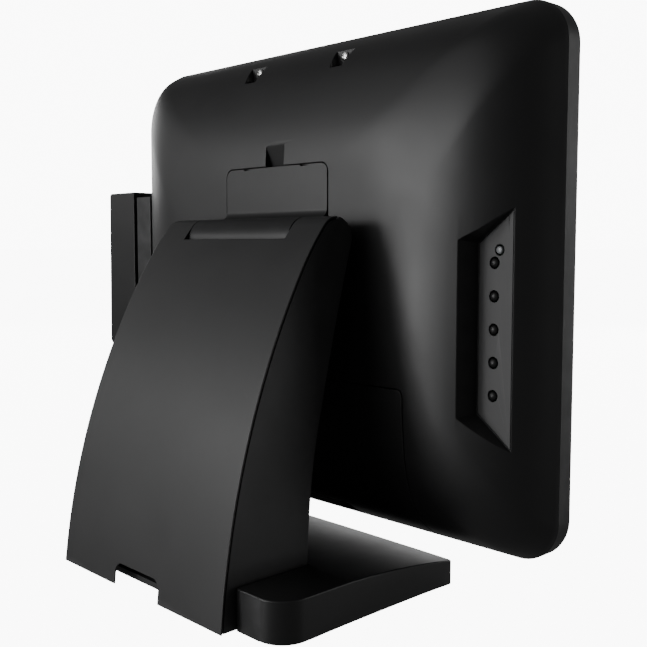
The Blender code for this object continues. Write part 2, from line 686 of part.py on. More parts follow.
def make_inside(mats):
    """Display module, chassis, computer board and what is on them."""
    x, z = head_centre()
    display = centred_box("lcd_panel", (x, -0.0061, z), DISPLAY, mats["panel"])
    chassis = prism("chassis_plate", "Y", rounded_rect((x, z), *CHASSIS, CHASSIS_CORNER, 4), 0.0001,
                    0.0015, mats["steel"])
    low = z - BOARD_DROP
    for sx in (-1, 1):
        for sz in (-1, 1):
            join(chassis, centred_box("tab", (x + sx * 0.07, 0.0036, low + sz * 0.06),
                                      (0.008, 0.0046, 0.008), mats["steel"]))
    board = centred_box("mainboard", (x, 0.0070, low), (0.170, 0.0016, 0.150), mats["board"])
    for dx, dz, width, height, depth in ((-0.055, 0.045, 0.034, 0.012, 0.006),
                                         (0.068, 0.050, 0.022, 0.030, 0.003),
                                         (0.058, -0.020, 0.014, 0.014, 0.005)):
        join(board, centred_box("chip", (x + dx, 0.0074 + depth / 2, low + dz),
                                (width, depth, height), mats["board"]))
    port_z = low - 0.0665
    ports = centred_box("port_block", (x, 0.0078 + GAP + 0.0065, port_z), (0.150, 0.013, 0.016),
                        mats["alloy"])
    for i in range(7):
        socket = centred_box("socket", (-0.063 + 0.021 * i, 0.0146, port_z - 0.007), (0.0146, 0.0072, 0.010),
                             mats["alloy"])
        cut(ports, socket)
    sink = centred_box("heat_sink", (x - 0.010, 0.0102, low + 0.005), (0.078, 0.0040, 0.066), mats["alloy"])
    for i in range(9):
        join(sink, centred_box("fin", (x - 0.010, 0.0172, low - 0.025 + 0.0075 * i),
                               (0.078, 0.012, 0.0016), mats["alloy"]))
    drive = centred_box("storage_drive", (-0.098, 0.0065, z + 0.075), (0.070, 0.007, 0.100), mats["alloy"])
    memory = centred_box("memory_module", (0.020, 0.0100, z + 0.003), (0.0676, 0.0034, 0.030),
                         mats["board"])
    pieces = [display, chassis, board, ports, sink, drive, memory]
    for side in (-1, 1):
        name = "speaker_right" if side > 0 else "speaker_left"
        body = centred_box(name, (side * 0.130, 0.0090, 0.062), (0.040, 0.014, 0.024), mats["case"])
        cone = cylinder("cone", "Z", (side * 0.130, 0.0090), 0.0052, 0.048, 0.054, mats["case"], 24)
        pieces.append(smooth(cut(body, cone)))
    return pieces


def make_buttons(mats):
    """Five caps in the recess, their board behind the wall and the status lens."""
    nx, ny = button_axis()
    pieces = []
    centre = floor_point(BUTTON_SHARE)
    for number, z in enumerate(reversed(button_heights()), 1):
        name = "button_{}".format(number)
        cap = tilted_cylinder(name, (0, 0), 0, BUTTON_R, -0.0034, 0.0012, mats["button"], 20, 0.0012)
        cap.location = (centre[0], centre[1], z)
        pieces.append(smooth(cap, 50))
    lens = tilted_cylinder("status_lens", floor_point(LED_SHARE), LED_Z, LED_R, -0.0046, 0.0006,
                           mats["lens"], 20, 0.0006)
    pieces += [smooth(lens, 50), make_key_plate(mats)]
    middle = floor_point(0.5)
    depth = -0.0060
    corners = []
    for along, out in ((-0.0085, depth), (0.0085, depth), (0.0085, depth + 0.0012), (-0.0085, depth + 0.0012)):
        corners.append((middle[0] + nx * out - ny * along, middle[1] + ny * out + nx * along))
    pieces.append(prism("button_board", "Z", corners, RECESS_Z - 0.0475, RECESS_Z + 0.0475, mats["board"]))
    return pieces


def make_top_screws(mats):
    pieces = []
    for side in (-1, 1):
        name = "top_screw_right" if side > 0 else "top_screw_left"
        seat = POCKET_FLOOR + GAP
        centre = (side * SCREW[0], SCREW[1])
        screw = cylinder(name, "Y", centre, SCREW_R, seat, seat + 0.0014, mats["screw"], 24)
        cross = cylinder("drive", "Y", centre, 0.0013, seat + 0.0006, seat + 0.003, mats["screw"], 8)
        pieces.append(smooth(cut(screw, cross)))
    return pieces


def make_hinge_cover(mats):
    """Plate on the head's back that runs down into the barrel between the horns."""
    mat = mats["case"]
    face = DOME_DEPTH
    back = face - PLATE_T
    fillet = 0.0050
    foot = HINGE_Z + HORN_R
    wall = 0.0022
    outer = [(face, PLATE_TOP)]
    outer += arc((face + fillet, foot + fillet), fillet, 180, 270, 5)
    outer += horn(0, 88, -66, 14)
    outer += [(face + 0.0002, PLATE_FOOT), (back, PLATE_FOOT), (back, PLATE_TOP)]
    cover = prism("hinge_cover", "X", outer, *BARREL_X, mat)
    boolean(cover, prism("corners", "Y", plate_outline(0.0), 0.0, 0.1, mat), "INTERSECT")
    hollow = [(0.0, PLATE_FOOT + 0.0035)] + horn(wall, -45, 85, 10) + [(0.0, foot - wall)]
    cut(cover, prism("hollow", "X", hollow, BARREL_X[0] + wall, BARREL_X[1] - wall, mat))
    cut(cover, cylinder("hole", "X", (HINGE_Y, HINGE_Z), SHAFT_R + 0.0006, -0.06, 0.06, mat))
    for x in (-0.0270, 0.0270):
        cut(cover, centred_box("clip", (x, face - 0.0006, PLATE_TOP), (0.0060, 0.0040, 0.0018), mat))
    return smooth(cover)


def make_hinge_core(mats):
    """Steel shaft and the two-armed bracket that ties it to the head's chassis."""
    shaft = cylinder("hinge_shaft", "X", (HINGE_Y, HINGE_Z), SHAFT_R, -0.0640, 0.0640, mats["steel"], 48)
    bracket = box("hinge_bracket", (-0.0410, BRIDGE_Y, 0.1965), (0.0410, BRIDGE_Y + 0.0025, 0.2400),
                  mats["steel"])
    root = BRIDGE_Y + 0.001
    post_foot = 0.0018
    for x in (-0.031, 0.031):
        arm = arc((HINGE_Y, HINGE_Z), 0.0064, 90, -90, 8) + [(root, 0.1985), (root, 0.2099)]
        join(bracket, prism("arm", "X", arm, x - 0.004, x + 0.004, mats["steel"]))
    for x in (-0.034, 0.034):
        for z in (0.2015, 0.2350):
            post = (x, (post_foot + root) / 2, z)
            join(bracket, centred_box("post", post, (0.006, root - post_foot, 0.006), mats["steel"]))
    cut(bracket, cylinder("bore", "X", (HINGE_Y, HINGE_Z), SHAFT_R + GAP, -0.05, 0.05, mats["steel"], 48))
    return [smooth(shaft), smooth(bracket)]


# ---------------------------------------------------------------- card reader
def make_reader(mats):
    """Swipe card reader on the head's side: two blocks, the web that joins them and the read head."""
    mat = mats["case"]
    front, back = READER_Y
    low, high = READER_Z
    web_back = front + WEB_T
    rim = HEAD_W / 2 + 2 * GAP
    mount_outline = [(rim, front), (SLOT_X[0], front), (SLOT_X[0], back), (0.1775, back),
                     (0.1775, back - 0.003), (rim, 0.0085)]
    mount = prism("reader_mount", "Z", mount_outline, low + 0.0006, high - READER_STEP, mat)
    join(mount, box("flange", (rim, front, low + 0.0006), (SLOT_X[0], web_back, high), mat))
    radius = READER_CORNER
    middle = (SLOT_X[1] + READER_OUT[0]) / 2
    rings = []
    for z, out in ((low, READER_OUT[0]), (high, READER_OUT[1])):
        ring = [(SLOT_X[1], front), (middle, front)]
        ring += arc((out - radius, front + radius), radius, 270, 360, 3)
        ring += arc((out - radius, back - radius), radius, 0, 90, 3) + [(SLOT_X[1], back)]
        rings.append([(x, y, z) for x, y in ring])
    cover = loft("reader_cover", rings, mat)
    web = box("reader_web", (SLOT_X[0] + GAP, front, low + 0.0006), (SLOT_X[1] - GAP, web_back, high), mat)
    height = (low + high) / 2
    cut(cover, centred_box("pocket", (SLOT_X[1] + 0.002, 0.0045, height), (0.0060, 0.0092, 0.0126), mat))
    head = centred_box("read_head", (SLOT_X[1] + 0.0015, 0.0045, height), (0.0040, 0.0086, 0.0120),
                       mats["alloy"])
    return [smooth(mount), smooth(cover), web, head]


# ---------------------------------------------------------------- assembly
def empty(name, location, parent=None):
    obj = bpy.data.objects.new(name, None)
    obj.location = location
    obj.parent = parent
    bpy.context.collection.objects.link(obj)
    return obj


def main():
    for obj in list(bpy.data.objects):
        bpy.data.objects.remove(obj)
    mats = make_materials()
    rear = back_y(BASE_LIFT)
    front = -FRAME_DEPTH - GAP - GLASS_T
    shift = (-(READER_OUT[0] - HEAD_W / 2) / 2, -(rear + front) / 2, 0.0)
    root = empty("assembly_origin", shift)
    pivot = empty("tilt_axis", (0.0, HINGE_Y, HINGE_Z), root)
    fixed = make_base(mats) + [make_back_cover(mats), make_front_cover(mats), make_bracket(mats)]
    fixed += make_stand_screws(mats)
    for side in (-1, 1):
        fixed += [make_side(side, mats), make_cheek(side, mats), make_hinge(side, mats)]
    head = make_front(mats) + [make_rear_shell(mats), make_port_cover(mats), make_hinge_cover(mats)]
    head += make_inside(mats) + make_hinge_core(mats) + make_top_screws(mats)
    head += make_buttons(mats) + make_reader(mats)
    for obj in fixed:
        obj.parent = root
    for obj in head:
        obj.parent = pivot
        obj.location = (obj.location.x, obj.location.y - HINGE_Y, obj.location.z - HINGE_Z)


main()
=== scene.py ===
"""Looks of the counter-top touch computer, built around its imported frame.

Shapes are written in the part's own coordinates: x = 0 on the stand's middle plane, y = 0 at the
seam between the rear shell and the front frame, z = 0 on the floor. ORIGIN moves them into the
frame. Metres and degrees.
"""
import json
import math
import bmesh
import bpy
from mathutils import Matrix, Vector


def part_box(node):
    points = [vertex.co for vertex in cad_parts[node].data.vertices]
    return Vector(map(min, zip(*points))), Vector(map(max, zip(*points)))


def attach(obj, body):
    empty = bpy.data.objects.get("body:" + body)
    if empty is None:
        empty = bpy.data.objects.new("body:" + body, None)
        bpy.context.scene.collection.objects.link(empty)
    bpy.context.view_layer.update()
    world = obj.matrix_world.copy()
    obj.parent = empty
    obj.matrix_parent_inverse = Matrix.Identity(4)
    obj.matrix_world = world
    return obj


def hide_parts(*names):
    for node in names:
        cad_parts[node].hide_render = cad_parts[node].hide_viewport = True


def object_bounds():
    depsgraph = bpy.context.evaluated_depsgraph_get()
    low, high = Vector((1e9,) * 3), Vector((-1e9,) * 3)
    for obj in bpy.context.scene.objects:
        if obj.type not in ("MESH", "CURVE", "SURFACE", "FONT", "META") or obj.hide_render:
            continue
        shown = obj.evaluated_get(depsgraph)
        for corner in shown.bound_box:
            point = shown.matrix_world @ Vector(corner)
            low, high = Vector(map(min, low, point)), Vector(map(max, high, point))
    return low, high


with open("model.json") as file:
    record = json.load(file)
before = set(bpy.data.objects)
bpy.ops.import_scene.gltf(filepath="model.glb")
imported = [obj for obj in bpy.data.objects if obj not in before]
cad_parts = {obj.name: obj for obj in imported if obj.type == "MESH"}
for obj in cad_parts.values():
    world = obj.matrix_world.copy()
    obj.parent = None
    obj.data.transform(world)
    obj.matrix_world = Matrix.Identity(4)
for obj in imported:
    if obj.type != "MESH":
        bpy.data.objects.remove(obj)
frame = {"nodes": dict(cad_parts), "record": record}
cad_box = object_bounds()


# ---------------------------------------------------------------- sizes read from the frame
def corners(node):
    low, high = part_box(node)
    return Vector(low), Vector(high)


GAP = 0.0003                  # least air between two neighbouring pieces
shell_low, shell_high = corners("rear_shell")
cover_low, cover_high = corners("stand_back_cover")
ORIGIN = Vector(((cover_low.x + cover_high.x) / 2, shell_low.y - GAP, 0.0))


def place(node):
    """Lowest and highest corner of a CAD node in the part's own coordinates."""
    low, high = corners(node)
    return low - ORIGIN, high - ORIGIN


hinge = next(j for j in frame["record"]["behaviour"]["joints"] if j["name"] == "head_tilt")
HINGE_Y = hinge["pos_m"][1] - ORIGIN.y
HINGE_Z = hinge["pos_m"][2]

HEAD_LOW, HEAD_HIGH = place("rear_shell")
HEAD_W = HEAD_HIGH.x - HEAD_LOW.x
HEAD_H = HEAD_HIGH.z - HEAD_LOW.z
HEAD_MIDDLE = (0.0, (HEAD_LOW.z + HEAD_HIGH.z) / 2)
DOME_DEPTH = HEAD_HIGH.y
FRAME_DEPTH = -place("front_frame")[0].y
GLASS_FRONT = place("touch_glass")[0].y
BARREL_LOW, BARREL_HIGH = place("hinge_cover")
BASE_LOW, BASE_HIGH = place("base_shell")
BASE_REAR = BASE_HIGH.y
BASE_HEIGHT = BASE_HIGH.z
READER_LOW, READER_HIGH = place("reader_cover")

# ---------------------------------------------------------------- shape constants
WALL = 0.0025
HEAD_CORNER = 0.024
DOME_RUN = 0.085              # how far in from the rim the back turns flat
DOME_CORNER = 0.052
DOME_DRAFT = 0.017            # extra slope next to the rim
WINDOW = (0.330, 0.258)       # opening of the front frame
DISPLAY_HALF = (0.152, 0.114)            # half the lit area behind the glass

HORN_R = 0.0127
HORN_START = 40.6             # where the back's curve runs into the horn, degrees
HORN_SEAM, HORN_TOP = 43, 92  # stretch of the horn that belongs to the back cover, degrees
SHAFT_R = 0.004
STAND_HALF = 0.0801           # half width of the stand on the floor
STAND_TAPER = 0.0256          # how much narrower it gets per metre of height
BACK_ARC_Y = -0.2962
BACK_ARC_Z = -0.0430
BACK_ARC_R = 0.4491
BEND_Z = 0.1850               # above this the back cover bends more tightly
BEND_R = 0.1778
CUTOUT_HALF = 0.0486          # half width of the gap that the barrel turns in
CUTOUT_Z = 0.2022
STAND_FRONT = ((0.0900, 0.0), (0.0886, 0.036), (0.0834, 0.078), (0.0753, 0.113),
               (0.0650, 0.152), (0.0570, 0.180), (HINGE_Y - HORN_R, HINGE_Z))
COVER_T = 0.0010              # visible thickness of the back cover at its edges
EDGE_T = 0.0015
SIDE_GROOVE = 0.0006          # shadow line between the back cover and the side plates
SIDE_INSET = 0.0006
CHEEK_FROM, CHEEK_TO = 0.0002, 0.0022    # the cheeks' faces, out from the cutout's ends
NECK_Z = 0.176                # foot of the opening in the stand's front, for the neck
NOTCH_HALF = 0.0222           # cable notch
NOTCH_TOP = 0.0135
NOTCH_R = 0.006

BASE_FRONT = 0.0065
BASE_ARC_Y = 0.1138
BASE_ARC_Z = -0.6190
BASE_ARC_R = 0.6426
BASE_SLOPE_END = 0.0905
BASE_BOW = 0.003
BASE_REAR_R = 0.016
BASE_FRONT_R = 0.003
BASE_EDGE = 0.0009            # rounding of the top edge
BAY_GAP = 0.0004              # air between the base and the stand's plates
BAY_DEPTH = 0.0044            # the side plates stop this far above the base's underside
ARCH_FRONT, ARCH_REAR = 0.0139, 0.1179   # where the side relief meets the floor
ARCH_RISE = 0.0128
ARCH_LEAN = 0.075                        # inward lean of the side below the arch

RECESS_IN = (-0.1429, 0.0232)            # x and y of the floor's inner edge
RECESS_OUT = (-0.1662, 0.0242)           # and of its outer edge
RECESS_Z = 0.1538
RECESS_IN_HALF = 0.0466
RECESS_OUT_HALF = 0.0640
RECESS_DRAFT = (0.17, 0.07)   # lean of the inner wall and of the end walls
RECESS_MOUTH = 0.07           # depth at which the recess's cutter ends, outside the shell
BUTTON_HOLE_R = 0.0033
BUTTON_R = 0.0025
BUTTON_RISE = 0.0018          # height of a button's domed end
BUTTON_SHARE = 0.46           # how far out across the floor the buttons stand
LED_SHARE = 0.60
LED_R = 0.0020
LED_HOLE_R = 0.0031
KEY_PLATE_T = 0.0008
KEY_MARGIN = 0.0006          # the recess floor shows this much outside the inlay
POCKET_X = 0.0405             # screw pockets in the head's top edge
POCKET_FLOOR = 0.0213
POCKET_FOOT = 0.3055
POCKET_HALF = (0.0050, 0.0112)           # half width at the foot and at the top
SCREW_R = 0.0028
PLATE_HALF = 0.0481           # hinge cover plate
PLATE_TOP = 0.2475
PLATE_FOOT = 0.1930
PLATE_CORNER = 0.006
PLATE_T = 0.0024
SEAT_GAP = 0.0004
BARREL_WALL = 0.0022
FILLET = 0.0055               # between the plate and the barrel
CLIP_X = 0.0270               # the plate's two release slots
CLIP_HALF = 0.0030
PRY_HALF = 0.0086             # finger notch above the plate
PRY_TOP = 0.2622
PRY_DEPTH = 0.0055
PRY_CORNER = 0.003
PORT_HALF = 0.107
PORT_TOP = 0.1185
PORT_CORNER = 0.004
NECK_HOLE = ((-0.043, 0.02, 0.1960), (0.043, 0.08, 0.2340))
READER_OUT = (0.2395, 0.2371)            # x of the outer face at the bottom and at the top
READER_TOP_R = 0.0025
READER_FOOT_R = 0.0042
READER_STEP = 0.0043          # the mount's rear part stops this far below the reader's top

CAMERA_PLACE = (-0.44902, 0.43209, 0.19944)
CAMERA_YAW = 46.21
CAMERA_PITCH = 4.87
CAMERA_LENS = 52.08
LIGHT_DISTANCE = 1.8
BACKDROP_LIGHT = 10.0         # brightness of the pale surroundings, seen by the camera only
FLOOR_LIGHT = 9.4
ROOM_LIGHT = 0.13             # what the object itself receives from the surroundings


# ---------------------------------------------------------------- outlines
def arc(centre, radius, start, end, steps):
    points = []
    for i in range(steps + 1):
        angle = math.radians(start + (end - start) * i / steps)
        points.append((centre[0] + radius * math.cos(angle), centre[1] + radius * math.sin(angle)))
    return points


def between(a, b, runs):
    """Points that split the straight stretch from a to b, without its ends."""
    return [tuple(p + (q - p) * i / runs for p, q in zip(a, b)) for i in range(1, runs)]


def rounded_rect(centre, width, height, radius, steps=8, runs=1):
    points = []
    for sx, sy, start in ((1, 1, 0), (-1, 1, 90), (-1, -1, 180), (1, -1, 270)):
        corner = (centre[0] + sx * (width / 2 - radius), centre[1] + sy * (height / 2 - radius))
        turn = arc(corner, radius, start, start + 90, steps)
        if points:
            points += between(points[-1], turn[0], runs)
        points += turn
    return points + between(points[-1], points[0], runs)


def curve(points, steps):
    """Catmull-Rom curve through the points."""
    padded = [points[0], *points, points[-1]]
    result = []
    for i in range(1, len(padded) - 2):
        p0, p1, p2, p3 = padded[i - 1:i + 3]
        for k in range(steps):
            t = k / steps
            result.append(tuple(0.5 * (2 * b + (c - a) * t + (2 * a - 5 * b + 4 * c - d) * t * t
                                       + (3 * b - a - 3 * c + d) * t ** 3)
                                for a, b, c, d in zip(p0, p1, p2, p3)))
    result.append(points[-1])
    return result


# ---------------------------------------------------------------- mesh helpers
def mesh_object(name, verts, faces):
    mesh = bpy.data.meshes.new(name)
    mesh.from_pydata([tuple(v) for v in verts], [], faces)
    bm = bmesh.new()
    bm.from_mesh(mesh)
    bmesh.ops.recalc_face_normals(bm, faces=bm.faces)
    bm.to_mesh(mesh)
    bm.free()
    obj = bpy.data.objects.new(name, mesh)
    bpy.context.collection.objects.link(obj)
    return obj


def loft(name, rings):
    """Bridge closed rings of equal length and cap both ends."""
    count = len(rings[0])
    verts = [point for ring in rings for point in ring]
    faces = []
    for low in range(0, len(verts) - count, count):
        for i in range(count):
            j = (i + 1) % count
            faces.append((low + i, low + j, low + count + j, low + count + i))
    faces.append(tuple(range(count)))
    faces.append(tuple(range(len(verts) - count, len(verts))))
    return mesh_object(name, verts, faces)


def to_3d(axis, u, v, w):
    if axis == "X":
        return (w, u, v)
    if axis == "Y":
        return (u, w, v)
    return (u, v, w)


def prism(name, axis, profile, low, high, runs=1):
    depths = [low, *[p[0] for p in between((low,), (high,), runs)], high]
    return loft(name, [[to_3d(axis, u, v, w) for u, v in profile] for w in depths])


def box(name, low, high):
    profile = ((low[0], low[1]), (high[0], low[1]), (high[0], high[1]), (low[0], high[1]))
    return prism(name, "Z", profile, low[2], high[2])


def cylinder(name, axis, centre, radius, low, high, sides=48):
    return prism(name, axis, arc(centre, radius, 0, 360 - 360 / sides, sides - 1), low, high)


def turned(name, centre, direction, profile, sides=48):
    """Turn (radius, height) points about an axis through centre."""
    axis = Vector(direction).normalized()
    side = axis.orthogonal().normalized()
    other = axis.cross(side)
    rings = []
    for radius, height in profile:
        ring = []
        for i in range(sides):
            angle = 2 * math.pi * i / sides
            ring.append(Vector(centre) + axis * height
                        + (side * math.cos(angle) + other * math.sin(angle)) * radius)
        rings.append(ring)
    return loft(name, rings)


def boolean(target, tool, operation):
    modifier = target.modifiers.new(operation.lower(), "BOOLEAN")
    modifier.operation = operation
    modifier.object = tool
    graph = bpy.context.evaluated_depsgraph_get()
    result = bpy.data.meshes.new_from_object(target.evaluated_get(graph))
    target.modifiers.clear()
    target.data = result
    bpy.data.objects.remove(tool)
    return target


def cut(target, *tools):
    for tool in tools:
        boolean(target, tool, "DIFFERENCE")
    return target


def join(target, *tools):
    for tool in tools:
        boolean(target, tool, "UNION")
    return target


def soften(obj, width, segments=2, angle=28, keep=None):
    """Round the sharp edges a little, so that they catch the light as moulded edges do."""
    bm = bmesh.new()
    bm.from_mesh(obj.data)
    bmesh.ops.remove_doubles(bm, verts=bm.verts, dist=0.00005)
    bmesh.ops.dissolve_degenerate(bm, edges=bm.edges, dist=0.00003)
    limit = math.radians(angle)
    sharp = []
    for edge in bm.edges:
        if len(edge.link_faces) != 2 or edge.calc_face_angle(0) < limit:
            continue
        middle = (edge.verts[0].co + edge.verts[1].co) / 2
        if keep is None or keep(middle):
            sharp.append(edge)
    bmesh.ops.bevel(bm, geom=sharp, offset=width, offset_type="OFFSET", segments=segments,
                    profile=0.5, affect="EDGES", clamp_overlap=False)
    bmesh.ops.recalc_face_normals(bm, faces=bm.faces)
    bm.to_mesh(obj.data)
    bm.free()
    return obj


def settle(obj, body, slot, material, *nodes, angle=40):
    """Move a finished piece into the frame, shade it, tie it to its body and hide the CAD nodes it
    stands in for.
    """
    obj.data.transform(Matrix.Translation(ORIGIN))
    obj.data.shade_smooth()
    obj.data.set_sharp_from_angle(angle=math.radians(angle))
    weighted = obj.modifiers.new("weighted_normals", "WEIGHTED_NORMAL")
    weighted.keep_sharp = True
    weighted.weight = 80
    obj.data.materials.clear()
    obj.data.materials.append(material)
    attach(obj, body)
    if nodes:
        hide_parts(*nodes)
    return obj


# ---------------------------------------------------------------- materials
def node(tree, kind, **values):
    made = tree.nodes.new(kind)
    for key, value in values.items():
        setattr(made, key, value)
    return made


def noise(tree, scale, detail, roughness=0.5):
    """Noise over the object's own coordinates; one feature is about 1 / scale metres."""
    place_node = node(tree, "ShaderNodeTexCoord")
    made = node(tree, "ShaderNodeTexNoise")
    made.inputs["Scale"].default_value = scale
    made.inputs["Detail"].default_value = detail
    made.inputs["Roughness"].default_value = roughness
    tree.links.new(place_node.outputs["Object"], made.inputs["Vector"])
    return made.outputs["Fac"]


def remap(tree, value, low, high, to_low, to_high):
    made = node(tree, "ShaderNodeMapRange")
    limits = {"From Min": low, "From Max": high, "To Min": to_low, "To Max": to_high}
    for name, number in limits.items():
        made.inputs[name].default_value = number
    tree.links.new(value, made.inputs["Value"])
    return made.outputs["Result"]


def blend_colour(tree, factor, first, second):
    made = node(tree, "ShaderNodeMix", data_type="RGBA")
    tree.links.new(factor, made.inputs["Factor"])
    for socket, colour in ((made.inputs[6], first), (made.inputs[7], second)):
        if isinstance(colour, tuple):
            socket.default_value = (*colour, 1.0)
        else:
            tree.links.new(colour, socket)
    return made.outputs[2]


def combine(tree, operation, a, b):
    made = node(tree, "ShaderNodeMath", operation=operation)
    for socket, value in zip(made.inputs, (a, b)):
        if isinstance(value, (int, float)):
            socket.default_value = value
        else:
            tree.links.new(value, socket)
    return made.outputs[0]


def new_material(name):
    made = bpy.data.materials.new(name)
    made.use_nodes = True
    return made, made.node_tree, made.node_tree.nodes["Principled BSDF"]


def moulded(name, dark, light, rough, grain, depth, worn=(0.06, 0.06, 0.062), metallic=0.0,
            specular=0.5):
    """Moulded or plated surface: cloudy colour, fine grain, handling marks and pale worn edges."""
    made, tree, shader = new_material(name)
    clouds = noise(tree, 14, 4)
    mottle = noise(tree, grain * 0.35, 3)
    tone = combine(tree, "MULTIPLY_ADD", mottle, 0.35)
    tree.links.new(remap(tree, clouds, 0.3, 0.7, 0.0, 0.65), tone.node.inputs[2])
    colour = blend_colour(tree, tone, dark, light)
    edges = node(tree, "ShaderNodeNewGeometry").outputs["Pointiness"]
    rubbed = combine(tree, "MULTIPLY", remap(tree, edges, 0.53, 0.62, 0.0, 1.0),
                     remap(tree, noise(tree, 60, 3), 0.35, 0.75, 0.15, 1.0))
    tree.links.new(blend_colour(tree, rubbed, colour, worn), shader.inputs["Base Color"])
    smears = remap(tree, noise(tree, 22, 6, 0.65), 0.32, 0.72, rough[0], rough[1])
    tree.links.new(smears, shader.inputs["Roughness"])
    shader.inputs["Metallic"].default_value = metallic
    shader.inputs["Specular IOR Level"].default_value = specular
    bump = node(tree, "ShaderNodeBump")
    bump.inputs["Strength"].default_value = 0.35
    bump.inputs["Distance"].default_value = depth
    tree.links.new(noise(tree, grain, 2), bump.inputs["Height"])
    tree.links.new(bump.outputs["Normal"], shader.inputs["Normal"])
    return made


def brushed(name, dark, light, rough, stretch):
    """Metal with fine lines along one direction."""
    made, tree, shader = new_material(name)
    place_node = node(tree, "ShaderNodeTexCoord")
    mapping = node(tree, "ShaderNodeMapping")
    mapping.inputs["Scale"].default_value = stretch
    lines = node(tree, "ShaderNodeTexNoise")
    lines.inputs["Scale"].default_value = 1.0
    lines.inputs["Detail"].default_value = 5
    tree.links.new(place_node.outputs["Object"], mapping.inputs["Vector"])
    tree.links.new(mapping.outputs["Vector"], lines.inputs["Vector"])
    tone = blend_colour(tree, lines.outputs["Fac"], dark, light)
    tree.links.new(tone, shader.inputs["Base Color"])
    tree.links.new(remap(tree, noise(tree, 40, 4), 0.3, 0.7, rough[0], rough[1]),
                   shader.inputs["Roughness"])
    shader.inputs["Metallic"].default_value = 1.0
    bump = node(tree, "ShaderNodeBump")
    bump.inputs["Strength"].default_value = 0.2
    bump.inputs["Distance"].default_value = 0.00005
    tree.links.new(lines.outputs["Fac"], bump.inputs["Height"])
    tree.links.new(bump.outputs["Normal"], shader.inputs["Normal"])
    return made


def board_material():
    """Green solder mask with lighter copper runs under it."""
    made, tree, shader = new_material("board")
    place_node = node(tree, "ShaderNodeTexCoord")
    cells = node(tree, "ShaderNodeTexVoronoi", feature="DISTANCE_TO_EDGE", distance="CHEBYCHEV")
    cells.inputs["Scale"].default_value = 240
    tree.links.new(place_node.outputs["Object"], cells.inputs["Vector"])
    runs = remap(tree, cells.outputs["Distance"], 0.02, 0.08, 0.0, 1.0)
    tone = blend_colour(tree, runs, (0.06, 0.20, 0.08), (0.02, 0.09, 0.045))
    tree.links.new(tone, shader.inputs["Base Color"])
    rough = remap(tree, noise(tree, 90, 3), 0.3, 0.7, 0.35, 0.55)
    tree.links.new(rough, shader.inputs["Roughness"])
    bump = node(tree, "ShaderNodeBump")
    bump.inputs["Strength"].default_value = 0.3
    bump.inputs["Distance"].default_value = 0.0001
    tree.links.new(runs, bump.inputs["Height"])
    tree.links.new(bump.outputs["Normal"], shader.inputs["Normal"])
    return made


def glass_material():
    """Black-backed touch glass: a printed border round a slightly paler display area."""
    made, tree, shader = new_material("touch_glass")
    place_node = node(tree, "ShaderNodeTexCoord")
    split = node(tree, "ShaderNodeSeparateXYZ")
    tree.links.new(place_node.outputs["Object"], split.inputs[0])
    inside = None
    middles = (ORIGIN.x, HEAD_MIDDLE[1])
    for output, middle, half in zip("XZ", middles, DISPLAY_HALF):
        offset = combine(tree, "SUBTRACT", split.outputs[output], middle)
        within = combine(tree, "LESS_THAN", combine(tree, "ABSOLUTE", offset, 0), half)
        inside = within if inside is None else combine(tree, "MULTIPLY", inside, within)
    clouds = remap(tree, noise(tree, 30, 2), 0.3, 0.7, 0.7, 1.0)
    active = combine(tree, "MULTIPLY", inside, clouds)
    colour = blend_colour(tree, active, (0.006, 0.006, 0.007), (0.017, 0.018, 0.021))
    tree.links.new(colour, shader.inputs["Base Color"])
    smears = remap(tree, noise(tree, 26, 8, 0.7), 0.45, 0.8, 0.045, 0.16)
    tree.links.new(smears, shader.inputs["Roughness"])
    bump = node(tree, "ShaderNodeBump")
    bump.inputs["Strength"].default_value = 0.05
    bump.inputs["Distance"].default_value = 0.00002
    tree.links.new(noise(tree, 180, 2), bump.inputs["Height"])
    tree.links.new(bump.outputs["Normal"], shader.inputs["Normal"])
    return made


MATERIALS = {
    "case": moulded("case_plastic", (0.009, 0.009, 0.0095), (0.015, 0.015, 0.0155), (0.36, 0.44),
                    1500, 0.00006),
    "stand": moulded("stand_plastic", (0.017, 0.017, 0.0175), (0.025, 0.025, 0.0255), (0.40, 0.48),
                     1300, 0.00007, specular=0.57),
    "buttons": moulded("button_plastic", (0.008, 0.008, 0.008), (0.013, 0.013, 0.013), (0.38, 0.46),
                       2400, 0.00002),
    "key": moulded("key_plate_plastic", (0.095, 0.095, 0.096), (0.115, 0.115, 0.116), (0.55, 0.65),
                   1800, 0.00003, (0.16, 0.16, 0.162), specular=0.3),
    "rubber": moulded("foot_rubber", (0.014, 0.014, 0.014), (0.024, 0.024, 0.024), (0.75, 0.9),
                      900, 0.0001),
    "panel": moulded("panel_metal", (0.45, 0.46, 0.47), (0.60, 0.61, 0.62), (0.35, 0.5),
                     700, 0.00003, (0.75, 0.75, 0.76), 0.8),
    "lens": moulded("status_lens", (0.20, 0.21, 0.22), (0.28, 0.29, 0.30), (0.2, 0.3),
                    1200, 0.00001, (0.34, 0.35, 0.36)),
    "coated": moulded("coated_steel", (0.010, 0.010, 0.0105), (0.017, 0.017, 0.0175), (0.5, 0.62),
                      1100, 0.00005),
    "steel": brushed("zinc_steel", (0.48, 0.49, 0.50), (0.68, 0.69, 0.70), (0.28, 0.45),
                     (60, 900, 60)),
    "screws": brushed("nickel", (0.62, 0.62, 0.61), (0.85, 0.85, 0.84), (0.16, 0.28),
                      (400, 400, 400)),
    "alloy": brushed("alloy", (0.55, 0.56, 0.57), (0.74, 0.75, 0.76), (0.32, 0.5),
                     (900, 60, 60)),
    "board": board_material(),
    "glass": glass_material(),
}


